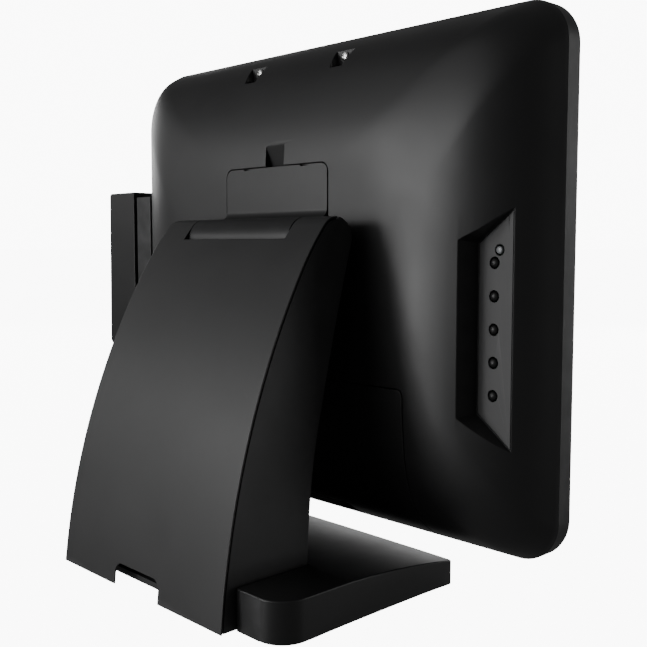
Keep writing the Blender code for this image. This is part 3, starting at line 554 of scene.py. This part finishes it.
# ---------------------------------------------------------------- base
def base_top(y):
    """Height of the base's top: level at the rear, then an arc down to the front edge."""
    if y > BASE_SLOPE_END:
        return BASE_HEIGHT
    return BASE_ARC_Z + math.sqrt(BASE_ARC_R ** 2 - (y - BASE_ARC_Y) ** 2)


def arch_height(y):
    """Upper edge of the shallow relief along each side of the base."""
    share = (y - ARCH_FRONT) / (ARCH_REAR - ARCH_FRONT)
    if share <= 0 or share >= 1:
        return BASE_LOW.z + GAP
    lopsided = share ** 0.85
    return max(BASE_LOW.z + GAP, ARCH_RISE * (4 * lopsided * (1 - lopsided)) ** 0.62)


def base_half_outline(inset, reach):
    """One half of the base's plan, from the middle of its front to the middle of its rear."""
    half = reach - inset
    rear = BASE_REAR - inset
    front = BASE_FRONT + inset
    points = []
    for i in range(1, 15):
        x = (half - BASE_FRONT_R) * i / 15
        points.append((x, front - BASE_BOW * (1 - (x / reach) ** 2)))
    points += arc((half - BASE_FRONT_R, front + BASE_FRONT_R), BASE_FRONT_R, 278, 360, 7)
    points += between(points[-1], (half, rear - BASE_REAR_R), 30)
    points += arc((half - BASE_REAR_R, rear - BASE_REAR_R), BASE_REAR_R, 0, 90, 14)
    return points + between(points[-1], (0.0, rear), 8)


def base_half_ring(kind, turn, inset, floor, edge, reach):
    """One level of the base's half outline: its foot, the relief, the side's top or the edge."""
    slide = edge * (1 - math.cos(turn)) if kind == "round" else 0.0
    full = base_half_outline(inset, reach)
    moved = base_half_outline(inset + slide, reach)
    half = []
    for (x0, y0), (x, y) in zip(full, moved):
        top = base_top(y0) - inset
        if kind == "floor":
            lean = 0.0
            if not inset and x0 > reach - BASE_FRONT_R:
                lean = ARCH_LEAN * (arch_height(y0) - BASE_LOW.z)
            half.append((x - lean, y, floor))
        elif kind == "arch":
            half.append((x, y, max(arch_height(y0), floor + GAP)))
        elif kind == "edge":
            half.append((x, y, top - edge))
        else:
            half.append((x, y, top - edge + edge * math.sin(turn)))
    return half


def base_form(name, inset, floor, edge):
    """Closed base body: flared side relief, rounded top edge and a top that slopes to the front."""
    rings = []
    levels = [("floor", 0.0), ("arch", 0.0), ("edge", 0.0)]
    levels += [("round", math.radians(a)) for a in (22.5, 45, 67.5, 90)]
    for kind, turn in levels:
        right = base_half_ring(kind, turn, inset, floor, edge, BASE_HIGH.x)
        left = base_half_ring(kind, turn, inset, floor, edge, -BASE_LOW.x)
        rings.append(right + [(-x, y, z) for x, y, z in reversed(left)])
    count = len(rings[0])
    verts = [point for ring in rings for point in ring]
    faces = []
    for low in range(0, len(verts) - count, count):
        for i in range(count):
            j = (i + 1) % count
            faces.append((low + i, low + j, low + count + j, low + count + i))
    for start in (0, len(verts) - count):
        for i in range(count // 2 - 1):
            faces.append((start + i, start + i + 1, start + count - 2 - i, start + count - 1 - i))
    return mesh_object(name, verts, faces)


def make_base():
    shell = base_form("base_shell_skin", 0.0, BASE_LOW.z, BASE_EDGE)
    cut(shell, base_form("hollow", WALL, BASE_LOW.z - 0.002, BASE_EDGE))
    clear = STAND_HALF + BAY_GAP
    bay_front = STAND_FRONT[0][0] - 2 * BAY_GAP
    cut(shell, box("bay", (-clear, bay_front, -0.01), (clear, BASE_REAR + 0.02, 0.05)))
    soften(shell, 0.0005, 2, 35)
    settle(shell, "stand", "case", MATERIALS["case"], "base_shell")
    for name in ("foot_front_left", "foot_front_right", "foot_rear_left", "foot_rear_right"):
        low, high = place(name)
        middle = (low + high) / 2
        radius = (high.x - low.x) / 2
        height = high.z - low.z
        profile = [(radius - 0.0004, 0.0), (radius - 0.0001, 0.0001), (radius, 0.0004),
                   (radius, height)]
        foot = turned(name + "_pad", (middle.x, middle.y, low.z), (0, 0, 1), profile, 40)
        settle(foot, "stand", "rubber", MATERIALS["rubber"], name)


# ---------------------------------------------------------------- stand
def half_width(z):
    return STAND_HALF - STAND_TAPER * z


def back_y(z, inset=0.0):
    """Depth of the stand's back at a height: a wide arc, then a tighter one above the bend."""
    rise = (BEND_Z - BACK_ARC_Z) / BACK_ARC_R
    radius = BACK_ARC_R - inset
    y, middle = BACK_ARC_Y, BACK_ARC_Z
    if z > middle + radius * rise:
        y += (BACK_ARC_R - BEND_R) * math.sqrt(1 - rise ** 2)
        middle += (BACK_ARC_R - BEND_R) * rise
        radius = BEND_R - inset
    return y + math.sqrt(radius ** 2 - (z - middle) ** 2)


def horn(inset, start, end, steps):
    return arc((HINGE_Y, HINGE_Z), HORN_R - inset, start, end, steps)


def back_line(inset, low, steps=44):
    """Back profile from the floor up to where it meets the horn's rounding."""
    top = HINGE_Z + (HORN_R - inset) * math.sin(math.radians(HORN_START))
    levels = [low + (top - low) * i / steps for i in range(steps + 1)]
    return [(back_y(z, inset), z) for z in levels]


def tapered(name, profile, outer, inner, sides):
    """Extrude a YZ outline along X between distances in from the tapered sides."""
    rings = []
    for side, distance in zip(sides, (outer, inner)):
        rings.append([(side * (half_width(z) - distance), y, z) for y, z in profile])
    return loft(name, rings)


def make_back_cover():
    low = BASE_LOW.z
    profile = back_line(0, low) + horn(0, HORN_SEAM, HORN_TOP, 10)
    inside = back_line(COVER_T, low) + horn(COVER_T, HORN_SEAM, HORN_TOP, 10)
    profile += list(reversed(inside))
    cover = tapered("stand_back_skin", profile, 0.0, 0.0, (-1, 1))
    top = 0.24
    cutout = [(CUTOUT_HALF, CUTOUT_Z), (CUTOUT_HALF, top),
              (-CUTOUT_HALF, top), (-CUTOUT_HALF, CUTOUT_Z)]
    cut(cover, prism("cutout", "Y", cutout, 0.02, 0.12))
    notch = [(NOTCH_HALF, -0.01)]
    notch += arc((NOTCH_HALF - NOTCH_R, NOTCH_TOP - NOTCH_R), NOTCH_R, 0, 90, 12)
    notch += arc((-NOTCH_HALF + NOTCH_R, NOTCH_TOP - NOTCH_R), NOTCH_R, 90, 180, 12)
    notch.append((-NOTCH_HALF, -0.01))
    cut(cover, prism("notch", "Y", notch, 0.10, 0.20))
    soften(cover, 0.0003, 3)
    settle(cover, "stand", "stand", MATERIALS["stand"], "stand_back_cover")


def make_side(side):
    node_name = "stand_side_right" if side > 0 else "stand_side_left"
    low = place(node_name)[0].z
    front = [(y, max(z, low)) for y, z in curve(STAND_FRONT, 8)][:-1]
    profile = front + horn(0, 180, HORN_SEAM, 24)
    profile += list(reversed(back_line(EDGE_T + SIDE_GROOVE, low)))
    plate = tapered(node_name + "_skin", profile, SIDE_INSET, SIDE_INSET + WALL, (side, side))
    under_cover = horn(-0.01, 30, 100, 6) + horn(EDGE_T + 0.0005, 100, 30, 12)
    trim = prism("trim", "X", under_cover, -0.1, 0.1)
    over_base = box("over_base", (-0.1, 0.0, -0.01),
                    (0.1, BASE_REAR - WALL, BASE_LOW.z + BAY_DEPTH))
    cut(plate, trim, over_base)
    soften(plate, 0.0004, 2)
    settle(plate, "stand", "stand", MATERIALS["stand"], node_name)


def make_front_cover():
    gap = SIDE_INSET + WALL + GAP
    low = BASE_HEIGHT + 0.0006
    line = [p for p in curve(STAND_FRONT, 8)[:-1] if p[1] > low]
    turn = horn(0, 180, 96, 12)
    outer = [(STAND_FRONT[0][0] - 0.0006, low), *line[1:]]
    inner = [(y + WALL, z) for y, z in outer] + horn(WALL, 180, 96, 12)
    cover = tapered("stand_front_skin", outer + turn + list(reversed(inner)), gap, gap, (-1, 1))
    cut(cover, box("neck", (-CUTOUT_HALF, 0.0, NECK_Z), (CUTOUT_HALF, 0.12, 0.24)))
    soften(cover, 0.0004, 2)
    settle(cover, "stand", "stand", MATERIALS["stand"], "stand_front_cover")


def make_cheek(side):
    node_name = "horn_cheek_right" if side > 0 else "horn_cheek_left"
    inset = EDGE_T + 0.0004
    profile = horn(WALL + 0.0004, 180, 96, 14) + horn(inset, 88, 40, 10)
    profile += [(back_y(z, inset), z) for z in (0.2060, 0.1980, 0.1900, 0.1800)]
    profile.append((HINGE_Y + 0.001, 0.1780))
    low, high = sorted((side * (CUTOUT_HALF + CHEEK_FROM), side * (CUTOUT_HALF + CHEEK_TO)))
    cheek = prism(node_name + "_skin", "X", profile, low, high)
    hole = cylinder("hole", "X", (HINGE_Y, HINGE_Z), SHAFT_R + 0.0008, low - 0.001, high + 0.001)
    cut(cheek, hole)
    soften(cheek, 0.0003, 2)
    settle(cheek, "stand", "stand", MATERIALS["stand"], node_name)


# ---------------------------------------------------------------- head
def dome(name, inset, levels, steps, runs):
    """The bulged back as a solid, near a quarter ellipse all round; inset makes its hollow."""
    rings = []
    if inset:
        outline = rounded_rect(HEAD_MIDDLE, HEAD_W - 2 * inset, HEAD_H - 2 * inset,
                               HEAD_CORNER - inset, steps, runs)
        rings.append([(x, -0.002, z) for x, z in outline])
    for level in range(levels + 1):
        turn = math.pi / 2 * level / levels
        run = 1 - math.cos(turn)
        share = min(2 * level / levels, 1)
        shrink = inset + (DOME_RUN - inset) * run + DOME_DRAFT * share * (1 - share) ** 2
        corner = HEAD_CORNER - inset + (DOME_CORNER - HEAD_CORNER + inset) * run ** 1.5
        outline = rounded_rect(HEAD_MIDDLE, HEAD_W - 2 * shrink, HEAD_H - 2 * shrink, corner,
                               steps, runs)
        depth = GAP + (DOME_DEPTH - inset - GAP) * math.sin(turn)
        rings.append([(x, depth, z) for x, z in outline])
    return loft(name, rings)


def recess_floor(x):
    """Depth of the sloping recess floor at a distance from the middle."""
    slope = (RECESS_OUT[1] - RECESS_IN[1]) / (RECESS_OUT[0] - RECESS_IN[0])
    return RECESS_IN[1] + slope * (x - RECESS_IN[0])


def recess_outline(spread):
    """The button recess seen from behind: a trapezoid that opens towards the rim."""
    x_in = RECESS_IN[0] + spread
    x_out = RECESS_OUT[0] - 0.012
    grow = (RECESS_OUT_HALF - RECESS_IN_HALF) / (RECESS_IN[0] - RECESS_OUT[0])
    out_half = RECESS_IN_HALF + grow * (RECESS_IN[0] - x_out) + spread
    in_half = RECESS_IN_HALF + spread
    return [(x_in, RECESS_Z - in_half), (x_in, RECESS_Z + in_half),
            (x_out, RECESS_Z + out_half), (x_out, RECESS_Z - out_half)]


def above_floor(name, outline, drop):
    """Prism from the sloping recess floor, or a little below it, out past the shell."""
    return loft(name, [[(x, recess_floor(x) - drop, z) for x, z in outline],
                       [(x, RECESS_MOUTH, z) for x, z in outline]])


def recess(name, spread, drop):
    """Cutter for the button recess; its inner wall and its ends lean outwards."""
    floor = [(x, recess_floor(x) - drop, z) for x, z in recess_outline(spread)]
    mouth = []
    for x, y, z in floor:
        rise = RECESS_MOUTH - y
        lean = RECESS_DRAFT[0] * rise if x > RECESS_OUT[0] else 0.0
        side = 1 if z > RECESS_Z else -1
        mouth.append((x + lean, RECESS_MOUTH, z + side * RECESS_DRAFT[1] * rise))
    return loft(name, [floor, mouth])


def key_outline(grow):
    """The inlay's outline: the recess, up to just short of its outer edge."""
    inner = recess_outline(grow - 2 * GAP)
    x_out = RECESS_OUT[0] + KEY_MARGIN - grow
    share = (x_out - inner[0][0]) / (inner[2][0] - inner[0][0])
    high = inner[1][1] + (inner[2][1] - inner[1][1]) * share
    low = inner[0][1] + (inner[3][1] - inner[0][1]) * share
    return [inner[0], inner[1], (x_out, high), (x_out, low)]


def pocket(name, side, spread, drop):
    """Cutter for a screw pocket, open at the top edge of the head."""
    foot, top = POCKET_FOOT - spread, HEAD_HIGH.z + 0.002
    foot_half, top_half = (half + spread for half in POCKET_HALF)
    corners_of = ((-foot_half, foot), (foot_half, foot), (top_half, top), (-top_half, top))
    outline = [(side * POCKET_X + dx, z) for dx, z in corners_of]
    return prism(name, "Y", outline, POCKET_FLOOR - drop, 0.07)


def plate_outline(grow):
    half = PLATE_HALF + grow
    top = PLATE_TOP + grow
    outline = [(half, PLATE_FOOT - grow)]
    outline += arc((half - PLATE_CORNER, top - PLATE_CORNER), PLATE_CORNER, 0, 90, 10)
    outline += arc((-half + PLATE_CORNER, top - PLATE_CORNER), PLATE_CORNER, 90, 180, 10)
    return outline + [(-half, PLATE_FOOT - grow)]


def pry_notch(name, spread, drop):
    """Finger notch above the hinge plate, deepest at its lower end, with rounded top corners."""
    half = PRY_HALF + spread
    foot = PLATE_TOP + 0.0002 - spread
    top = PRY_TOP + spread
    floor = DOME_DEPTH - PRY_DEPTH - drop
    outline = [(half, foot)]
    outline += arc((half - PRY_CORNER, top - PRY_CORNER), PRY_CORNER, 0, 90, 8)
    outline += arc((-half + PRY_CORNER, top - PRY_CORNER), PRY_CORNER, 90, 180, 8)
    outline.append((-half, foot))
    slope = (PRY_DEPTH - 0.0005) / (top - foot)
    return loft(name, [[(x, floor + slope * (z - foot), z) for x, z in outline],
                       [(x, 0.06, z) for x, z in outline]])


def port_prism(name, shrink):
    """Outline of the port cover, open at the foot, run through the shell."""
    half = PORT_HALF - shrink
    top = PORT_TOP - shrink
    outline = [(half, 0.0)]
    outline += arc((half - PORT_CORNER, top - PORT_CORNER), PORT_CORNER, 0, 90, 8)
    outline += arc((-half + PORT_CORNER, top - PORT_CORNER), PORT_CORNER, 90, 180, 8)
    outline.append((-half, 0.0))
    return prism(name, "Y", outline, -0.01, 0.08)


def floor_axis():
    """Unit vector square to the recess floor, pointing out of it."""
    return Vector((RECESS_OUT[1] - RECESS_IN[1], RECESS_IN[0] - RECESS_OUT[0], 0)).normalized()


def on_floor(node_name, share):
    """Point of the recess floor, part of the way across, at the height of a button or lens node."""
    x, y = (a + (b - a) * share for a, b in zip(RECESS_IN, RECESS_OUT))
    low, high = place(node_name)
    return Vector((x, y, (low.z + high.z) / 2))


BUTTONS = ["button_{}".format(i) for i in range(1, 6)]


def pierce_floor(piece):
    """Holes for the five buttons and the status lens."""
    holes = [(name, BUTTON_SHARE, BUTTON_HOLE_R) for name in BUTTONS]
    for name, share, radius in [*holes, ("status_lens", LED_SHARE, LED_HOLE_R)]:
        line = [(radius, -0.008), (radius, 0.004)]
        cut(piece, turned("hole", on_floor(name, share), floor_axis(), line, 36))
    return piece


def make_rear_shell():
    shell = dome("rear_shell_skin", 0.0, 26, 12, 8)
    hollow = dome("hollow", WALL, 12, 8, 1)
    keep = 0.002
    cut(hollow, recess("keep", keep, keep + KEY_PLATE_T))
    for side in (-1, 1):
        cut(hollow, pocket("keep", side, keep, keep))
    seat = DOME_DEPTH - PLATE_T
    cut(hollow, prism("keep", "Y", plate_outline(0.003), seat - keep, 0.08))
    cut(hollow, pry_notch("keep", keep, keep))
    cut(shell, hollow)
    cut(shell, recess("recess", 0, 0))
    cut(shell, above_floor("key_pocket", key_outline(GAP), KEY_PLATE_T + GAP))
    for side in (-1, 1):
        cut(shell, pocket("pocket", side, 0, 0))
    cut(shell, pry_notch("pry", 0, 0))
    cut(shell, prism("seat", "Y", plate_outline(SEAT_GAP), seat - GAP, 0.08))
    cut(shell, box("neck_hole", *NECK_HOLE))
    cut(shell, port_prism("port_opening", 0))
    pierce_floor(shell)
    soften(shell, 0.0004, 2, 26, lambda p: p.y > 0.001)
    settle(shell, "head", "case", MATERIALS["case"], "rear_shell")
    outline = key_outline(0)
    plate = loft("key_plate_skin", [[(x, recess_floor(x) - drop, z) for x, z in outline]
                                    for drop in (KEY_PLATE_T, 0)])
    soften(pierce_floor(plate), 0.00025, 3, 30)
    settle(plate, "head", "key", MATERIALS["key"], "key_plate")


def make_port_cover():
    cover = dome("port_cover_skin", 0.0, 26, 12, 8)
    cut(cover, dome("hollow", WALL, 12, 8, 1))
    boolean(cover, port_prism("trim", 2 * GAP), "INTERSECT")
    outlet = rounded_rect((0.0, 0.01625), 0.090, 0.0125, 0.003, 6)
    cut(cover, prism("outlet", "Z", outlet, 0.0, 0.045))
    soften(cover, 0.0004, 2, 26, lambda p: p.y > 0.001)
    settle(cover, "head", "case", MATERIALS["case"], "port_cover")


def make_front_frame():
    outline = rounded_rect(HEAD_MIDDLE, HEAD_W, HEAD_H, HEAD_CORNER, 16, 6)
    body = prism("front_frame_skin", "Y", outline, -FRAME_DEPTH, 0.0)
    inner = rounded_rect(HEAD_MIDDLE, HEAD_W - 2 * WALL, HEAD_H - 2 * WALL, HEAD_CORNER - WALL,
                         12, 1)
    cut(body, prism("inside", "Y", inner, -FRAME_DEPTH + 0.0016, 0.01))
    window = rounded_rect(HEAD_MIDDLE, *WINDOW, 0.002, 4)
    cut(body, prism("window", "Y", window, -0.02, 0.01))
    soften(body, 0.0006, 3, 35, lambda p: p.y < -0.001)
    settle(body, "head", "case", MATERIALS["case"], "front_frame")


def make_glass():
    rings = []
    thick = -FRAME_DEPTH - GAP - GLASS_FRONT
    chamfer = 0.0005
    for shrink, back in ((0.0005, 0.0), (0.0005, thick - chamfer), (0.00065, thick - chamfer * 0.4),
                         (0.0010, thick)):
        outline = rounded_rect(HEAD_MIDDLE, HEAD_W - 2 * shrink, HEAD_H - 2 * shrink,
                               HEAD_CORNER - shrink, 16, 6)
        rings.append([(x, -FRAME_DEPTH - GAP - back, z) for x, z in outline])
    settle(loft("touch_glass_sheet", rings), "head", "glass", MATERIALS["glass"], "touch_glass")


def make_buttons():
    axis = floor_axis()
    neck = -0.0006
    dish = [(BUTTON_R, -0.0034), (BUTTON_R, neck)]
    for angle in (15, 30, 45, 60, 75, 86):
        turn = math.radians(angle)
        dish.append((BUTTON_R * math.cos(turn), neck + BUTTON_RISE * math.sin(turn)))
    for name in BUTTONS:
        cap = turned(name + "_cap", on_floor(name, BUTTON_SHARE), axis, dish, 40)
        settle(cap, name, "buttons", MATERIALS["buttons"], name, angle=50)
    neck = 0.0001
    rod = [(LED_R, -0.0046), (LED_R, neck)]
    for angle in (20, 40, 60, 80):
        turn = math.radians(angle)
        rod.append((LED_R * math.cos(turn), neck + 0.0005 * math.sin(turn)))
    lens = turned("status_lens_rod", on_floor("status_lens", LED_SHARE), axis, rod, 40)
    settle(lens, "head", "lens", MATERIALS["lens"], "status_lens", angle=50)


def make_top_screws():
    """Pan-head screws with a cross recess."""
    for side in (-1, 1):
        node_name = "top_screw_right" if side > 0 else "top_screw_left"
        low, high = place(node_name)
        centre = (low + high) / 2
        centre.y = low.y
        height = high.y - low.y
        profile = [(SCREW_R, 0.0), (SCREW_R, height * 0.3), (SCREW_R * 0.94, height * 0.62),
                   (SCREW_R * 0.78, height * 0.86), (SCREW_R * 0.5, height), (0.0002, height)]
        screw = turned(node_name + "_head", centre, (0, 1, 0), profile, 40)
        for turn in (20, 110):
            angle = math.radians(turn)
            long = Vector((math.cos(angle), 0, math.sin(angle))) * 0.0015
            wide = Vector((-math.sin(angle), 0, math.cos(angle))) * 0.00035
            ends = [centre + long + wide, centre - long + wide,
                    centre - long - wide, centre + long - wide]
            rings = [[p + Vector((0, y, 0)) for p in ends] for y in (height * 0.45, height * 2)]
            cut(screw, loft("slot", rings))
        settle(screw, "head", "screws", MATERIALS["screws"], node_name)


def make_hinge_cover():
    """Plate on the head's back that runs down into the barrel between the horns."""
    face = DOME_DEPTH
    back = face - PLATE_T
    foot = HINGE_Z + HORN_R
    outer = [(face, PLATE_TOP)]
    outer += arc((face + FILLET, foot + FILLET), FILLET, 180, 270, 12)
    outer += horn(0, 88, -66, 44)
    outer += [(face + 0.0002, PLATE_FOOT), (back, PLATE_FOOT), (back, PLATE_TOP)]
    cover = prism("hinge_cover_skin", "X", outer, BARREL_LOW.x, BARREL_HIGH.x)
    boolean(cover, prism("corners", "Y", plate_outline(0), 0.0, 0.1), "INTERSECT")
    hollow = [(0.0, 0.1965)] + horn(BARREL_WALL, -45, 85, 20)
    hollow.append((0.0, HINGE_Z + HORN_R - BARREL_WALL))
    cut(cover, prism("hollow", "X", hollow, BARREL_LOW.x + BARREL_WALL, BARREL_HIGH.x - BARREL_WALL))
    cut(cover, cylinder("hole", "X", (HINGE_Y, HINGE_Z), SHAFT_R + 0.0006, -0.06, 0.06))
    for x in (-CLIP_X, CLIP_X):
        cut(cover, box("clip", (x - CLIP_HALF, face - 0.0026, PLATE_TOP - 0.0009),
                       (x + CLIP_HALF, face + 0.0014, PLATE_TOP + 0.0009)))
    soften(cover, 0.00035, 2, 30)
    settle(cover, "head", "case", MATERIALS["case"], "hinge_cover")


def upright(name, plan, low, high, top_radius, foot_radius, lean):
    """Block with a plan outline, rounded far upper and lower edges and a face that may lean."""
    levels = []
    for angle in (0, 12, 30, 50, 70, 90):
        rise = 1 - math.sin(math.radians(angle))
        back_off = 1 - math.cos(math.radians(angle))
        levels.append((low + foot_radius * rise, foot_radius * back_off))
        levels.append((high - top_radius * rise, top_radius * back_off))
    rings = []
    inner = min(x for x, _ in plan)
    outer = max(x for x, _ in plan)
    for z, back_off in sorted(levels):
        reach = outer - back_off + lean * (high - z) / (high - low)
        scale = (reach - inner) / (outer - inner)
        rings.append([(inner + (x - inner) * scale, y, z) for x, y in plan])
    return loft(name, rings)


def make_reader():
    """Swipe reader on the head's side: outer block, web at the front and the block on the head."""
    low, high = READER_LOW, READER_HIGH
    plan = [(low.x, low.y), (READER_OUT[1], low.y), (READER_OUT[1], high.y), (low.x, high.y)]
    block = upright("reader_cover_skin", plan, low.z, high.z, READER_TOP_R, READER_FOOT_R,
                    READER_OUT[0] - READER_OUT[1])
    head_low, head_high = place("read_head")
    spare = Vector((2 * GAP, 2 * GAP, 2 * GAP))
    pocket_low = (low.x - 0.001, head_low.y - GAP, head_low.z - GAP)
    cut(block, box("pocket", pocket_low, head_high + spare))
    soften(block, 0.0009, 4, 35, lambda p: p.x > low.x + 0.006)
    soften(block, 0.0004, 2, 50)
    settle(block, "head", "case", MATERIALS["case"], "reader_cover")
    low, high = place("reader_mount")
    inner = HEAD_HIGH.x + 2 * GAP
    plan = [(inner, low.y), (high.x, low.y), (high.x, high.y), (low.x, high.y),
            (low.x, high.y - 0.003), (inner, 0.0085)]
    mount = prism("reader_mount_skin", "Z", plan, low.z, READER_HIGH.z - READER_STEP)
    web_low, web_high = place("reader_web")
    join(mount, box("flange", (inner, low.y, low.z), (high.x, web_high.y, high.z)))
    soften(mount, 0.0005, 3, 35)
    settle(mount, "head", "case", MATERIALS["case"], "reader_mount")
    web = box("reader_web_skin", web_low, web_high)
    soften(web, 0.0003, 2, 35)
    settle(web, "head", "case", MATERIALS["case"], "reader_web")


# ---------------------------------------------------------------- CAD pieces that stay
COATED = ("base_plate", "stand_bracket")      # dark steel that shows through the cable notch


def dress_frame_nodes():
    """Give every carried-over CAD piece its finish."""
    slots = {part["node"]: part["material_slot"] for part in frame["record"]["subparts"]}
    for name, obj in frame["nodes"].items():
        material = MATERIALS["coated" if name in COATED else slots[name]]
        if not obj.material_slots:
            obj.data.materials.append(material)
        for holder in obj.material_slots:
            holder.material = material


# ---------------------------------------------------------------- studio
def aim(obj, location, forward):
    obj.location = location
    obj.rotation_euler = Vector(forward).to_track_quat("-Z", "Y").to_euler()


def make_camera():
    """Behind and to the left of the head, just above the level of its middle."""
    camera = bpy.data.cameras.new("camera")
    camera.sensor_width = 36.0
    camera.lens = CAMERA_LENS
    camera.clip_start = 0.01
    camera.dof.use_dof = False
    obj = bpy.data.objects.new("camera", camera)
    bpy.context.collection.objects.link(obj)
    yaw = math.radians(CAMERA_YAW)
    pitch = math.radians(CAMERA_PITCH)
    forward = (math.sin(yaw) * math.cos(pitch), -math.cos(yaw) * math.cos(pitch), -math.sin(pitch))
    aim(obj, ORIGIN + Vector(CAMERA_PLACE), forward)
    bpy.context.scene.camera = obj


def soft_light(name, azimuth, elevation, width, height, radiance):
    """Rectangular softbox; azimuth 0 is behind the head (+Y) and 90 on the user's right (+X)."""
    lamp = bpy.data.lights.new(name, "AREA")
    lamp.shape = "RECTANGLE"
    lamp.size = width
    lamp.size_y = height
    lamp.energy = radiance * math.pi * width * height
    obj = bpy.data.objects.new(name, lamp)
    bpy.context.collection.objects.link(obj)
    turn = math.radians(azimuth)
    rise = math.radians(elevation)
    level = math.cos(rise)
    away = Vector((math.sin(turn) * level, math.cos(turn) * level, math.sin(rise)))
    target = Vector((0, 0, (cad_box[0][2] + cad_box[1][2]) / 2))
    aim(obj, target + away * LIGHT_DISTANCE, -away)
    obj.visible_camera = False


# name, azimuth, elevation, width, height, radiance
SOFTBOXES = (
    ("key_low", 22, -6, 0.36, 0.55, 11.5),
    ("key_near", 10, 12, 0.60, 0.45, 6.3),
    ("key_far", 34, 12, 0.60, 0.45, 6.9),
    ("side", 60, 12, 0.60, 0.45, 1.0),
    ("left", 100, 12, 0.60, 0.45, 4.4),
    ("graze", 137, 8, 0.90, 1.10, 1.30),
    ("high", 30, 38, 1.20, 0.80, 0.6),
    ("fill_high", -134, 14, 0.60, 0.80, 1.70),
    ("fill_low", -128, -7, 0.60, 0.60, 1.20),
    ("front", 180, 0, 0.90, 0.90, 5.0),
)


def make_studio():
    for row in SOFTBOXES:
        soft_light(*row)
    world = bpy.data.worlds.new("studio")
    bpy.context.scene.world = world
    world.use_nodes = True
    tree = world.node_tree
    tree.nodes.clear()
    chooser = node(tree, "ShaderNodeMixShader")
    output = node(tree, "ShaderNodeOutputWorld")
    rays = node(tree, "ShaderNodeLightPath")
    tree.links.new(rays.outputs["Is Camera Ray"], chooser.inputs[0])
    for socket, strength in zip(chooser.inputs[1:], (ROOM_LIGHT, BACKDROP_LIGHT)):
        pale = node(tree, "ShaderNodeBackground")
        pale.inputs["Color"].default_value = (1, 1, 1, 1)
        pale.inputs["Strength"].default_value = strength
        tree.links.new(pale.outputs[0], socket)
    tree.links.new(chooser.outputs[0], output.inputs["Surface"])


def make_floor():
    """Pale sweep under the object, seen by the camera but kept out of the reflections."""
    half = 30.0
    square = [(-half, -half, 0), (half, -half, 0), (half, half, 0), (-half, half, 0)]
    floor = mesh_object("floor", square, [(0, 1, 2, 3)])
    made, tree, shader = new_material("pale_floor")
    shader.inputs["Base Color"].default_value = (0.9, 0.9, 0.9, 1)
    shader.inputs["Roughness"].default_value = 0.8
    shader.inputs["Emission Color"].default_value = (1, 1, 1, 1)
    shader.inputs["Emission Strength"].default_value = FLOOR_LIGHT
    floor.data.materials.append(made)
    floor.visible_diffuse = False
    floor.visible_glossy = False
    floor.visible_shadow = False


# ---------------------------------------------------------------- assembly
make_camera()
dress_frame_nodes()
make_base()
make_back_cover()
make_front_cover()
for side in (-1, 1):
    make_side(side)
    make_cheek(side)
make_rear_shell()
make_port_cover()
make_front_frame()
make_glass()
make_hinge_cover()
make_buttons()
make_top_screws()
make_reader()
make_studio()
make_floor()
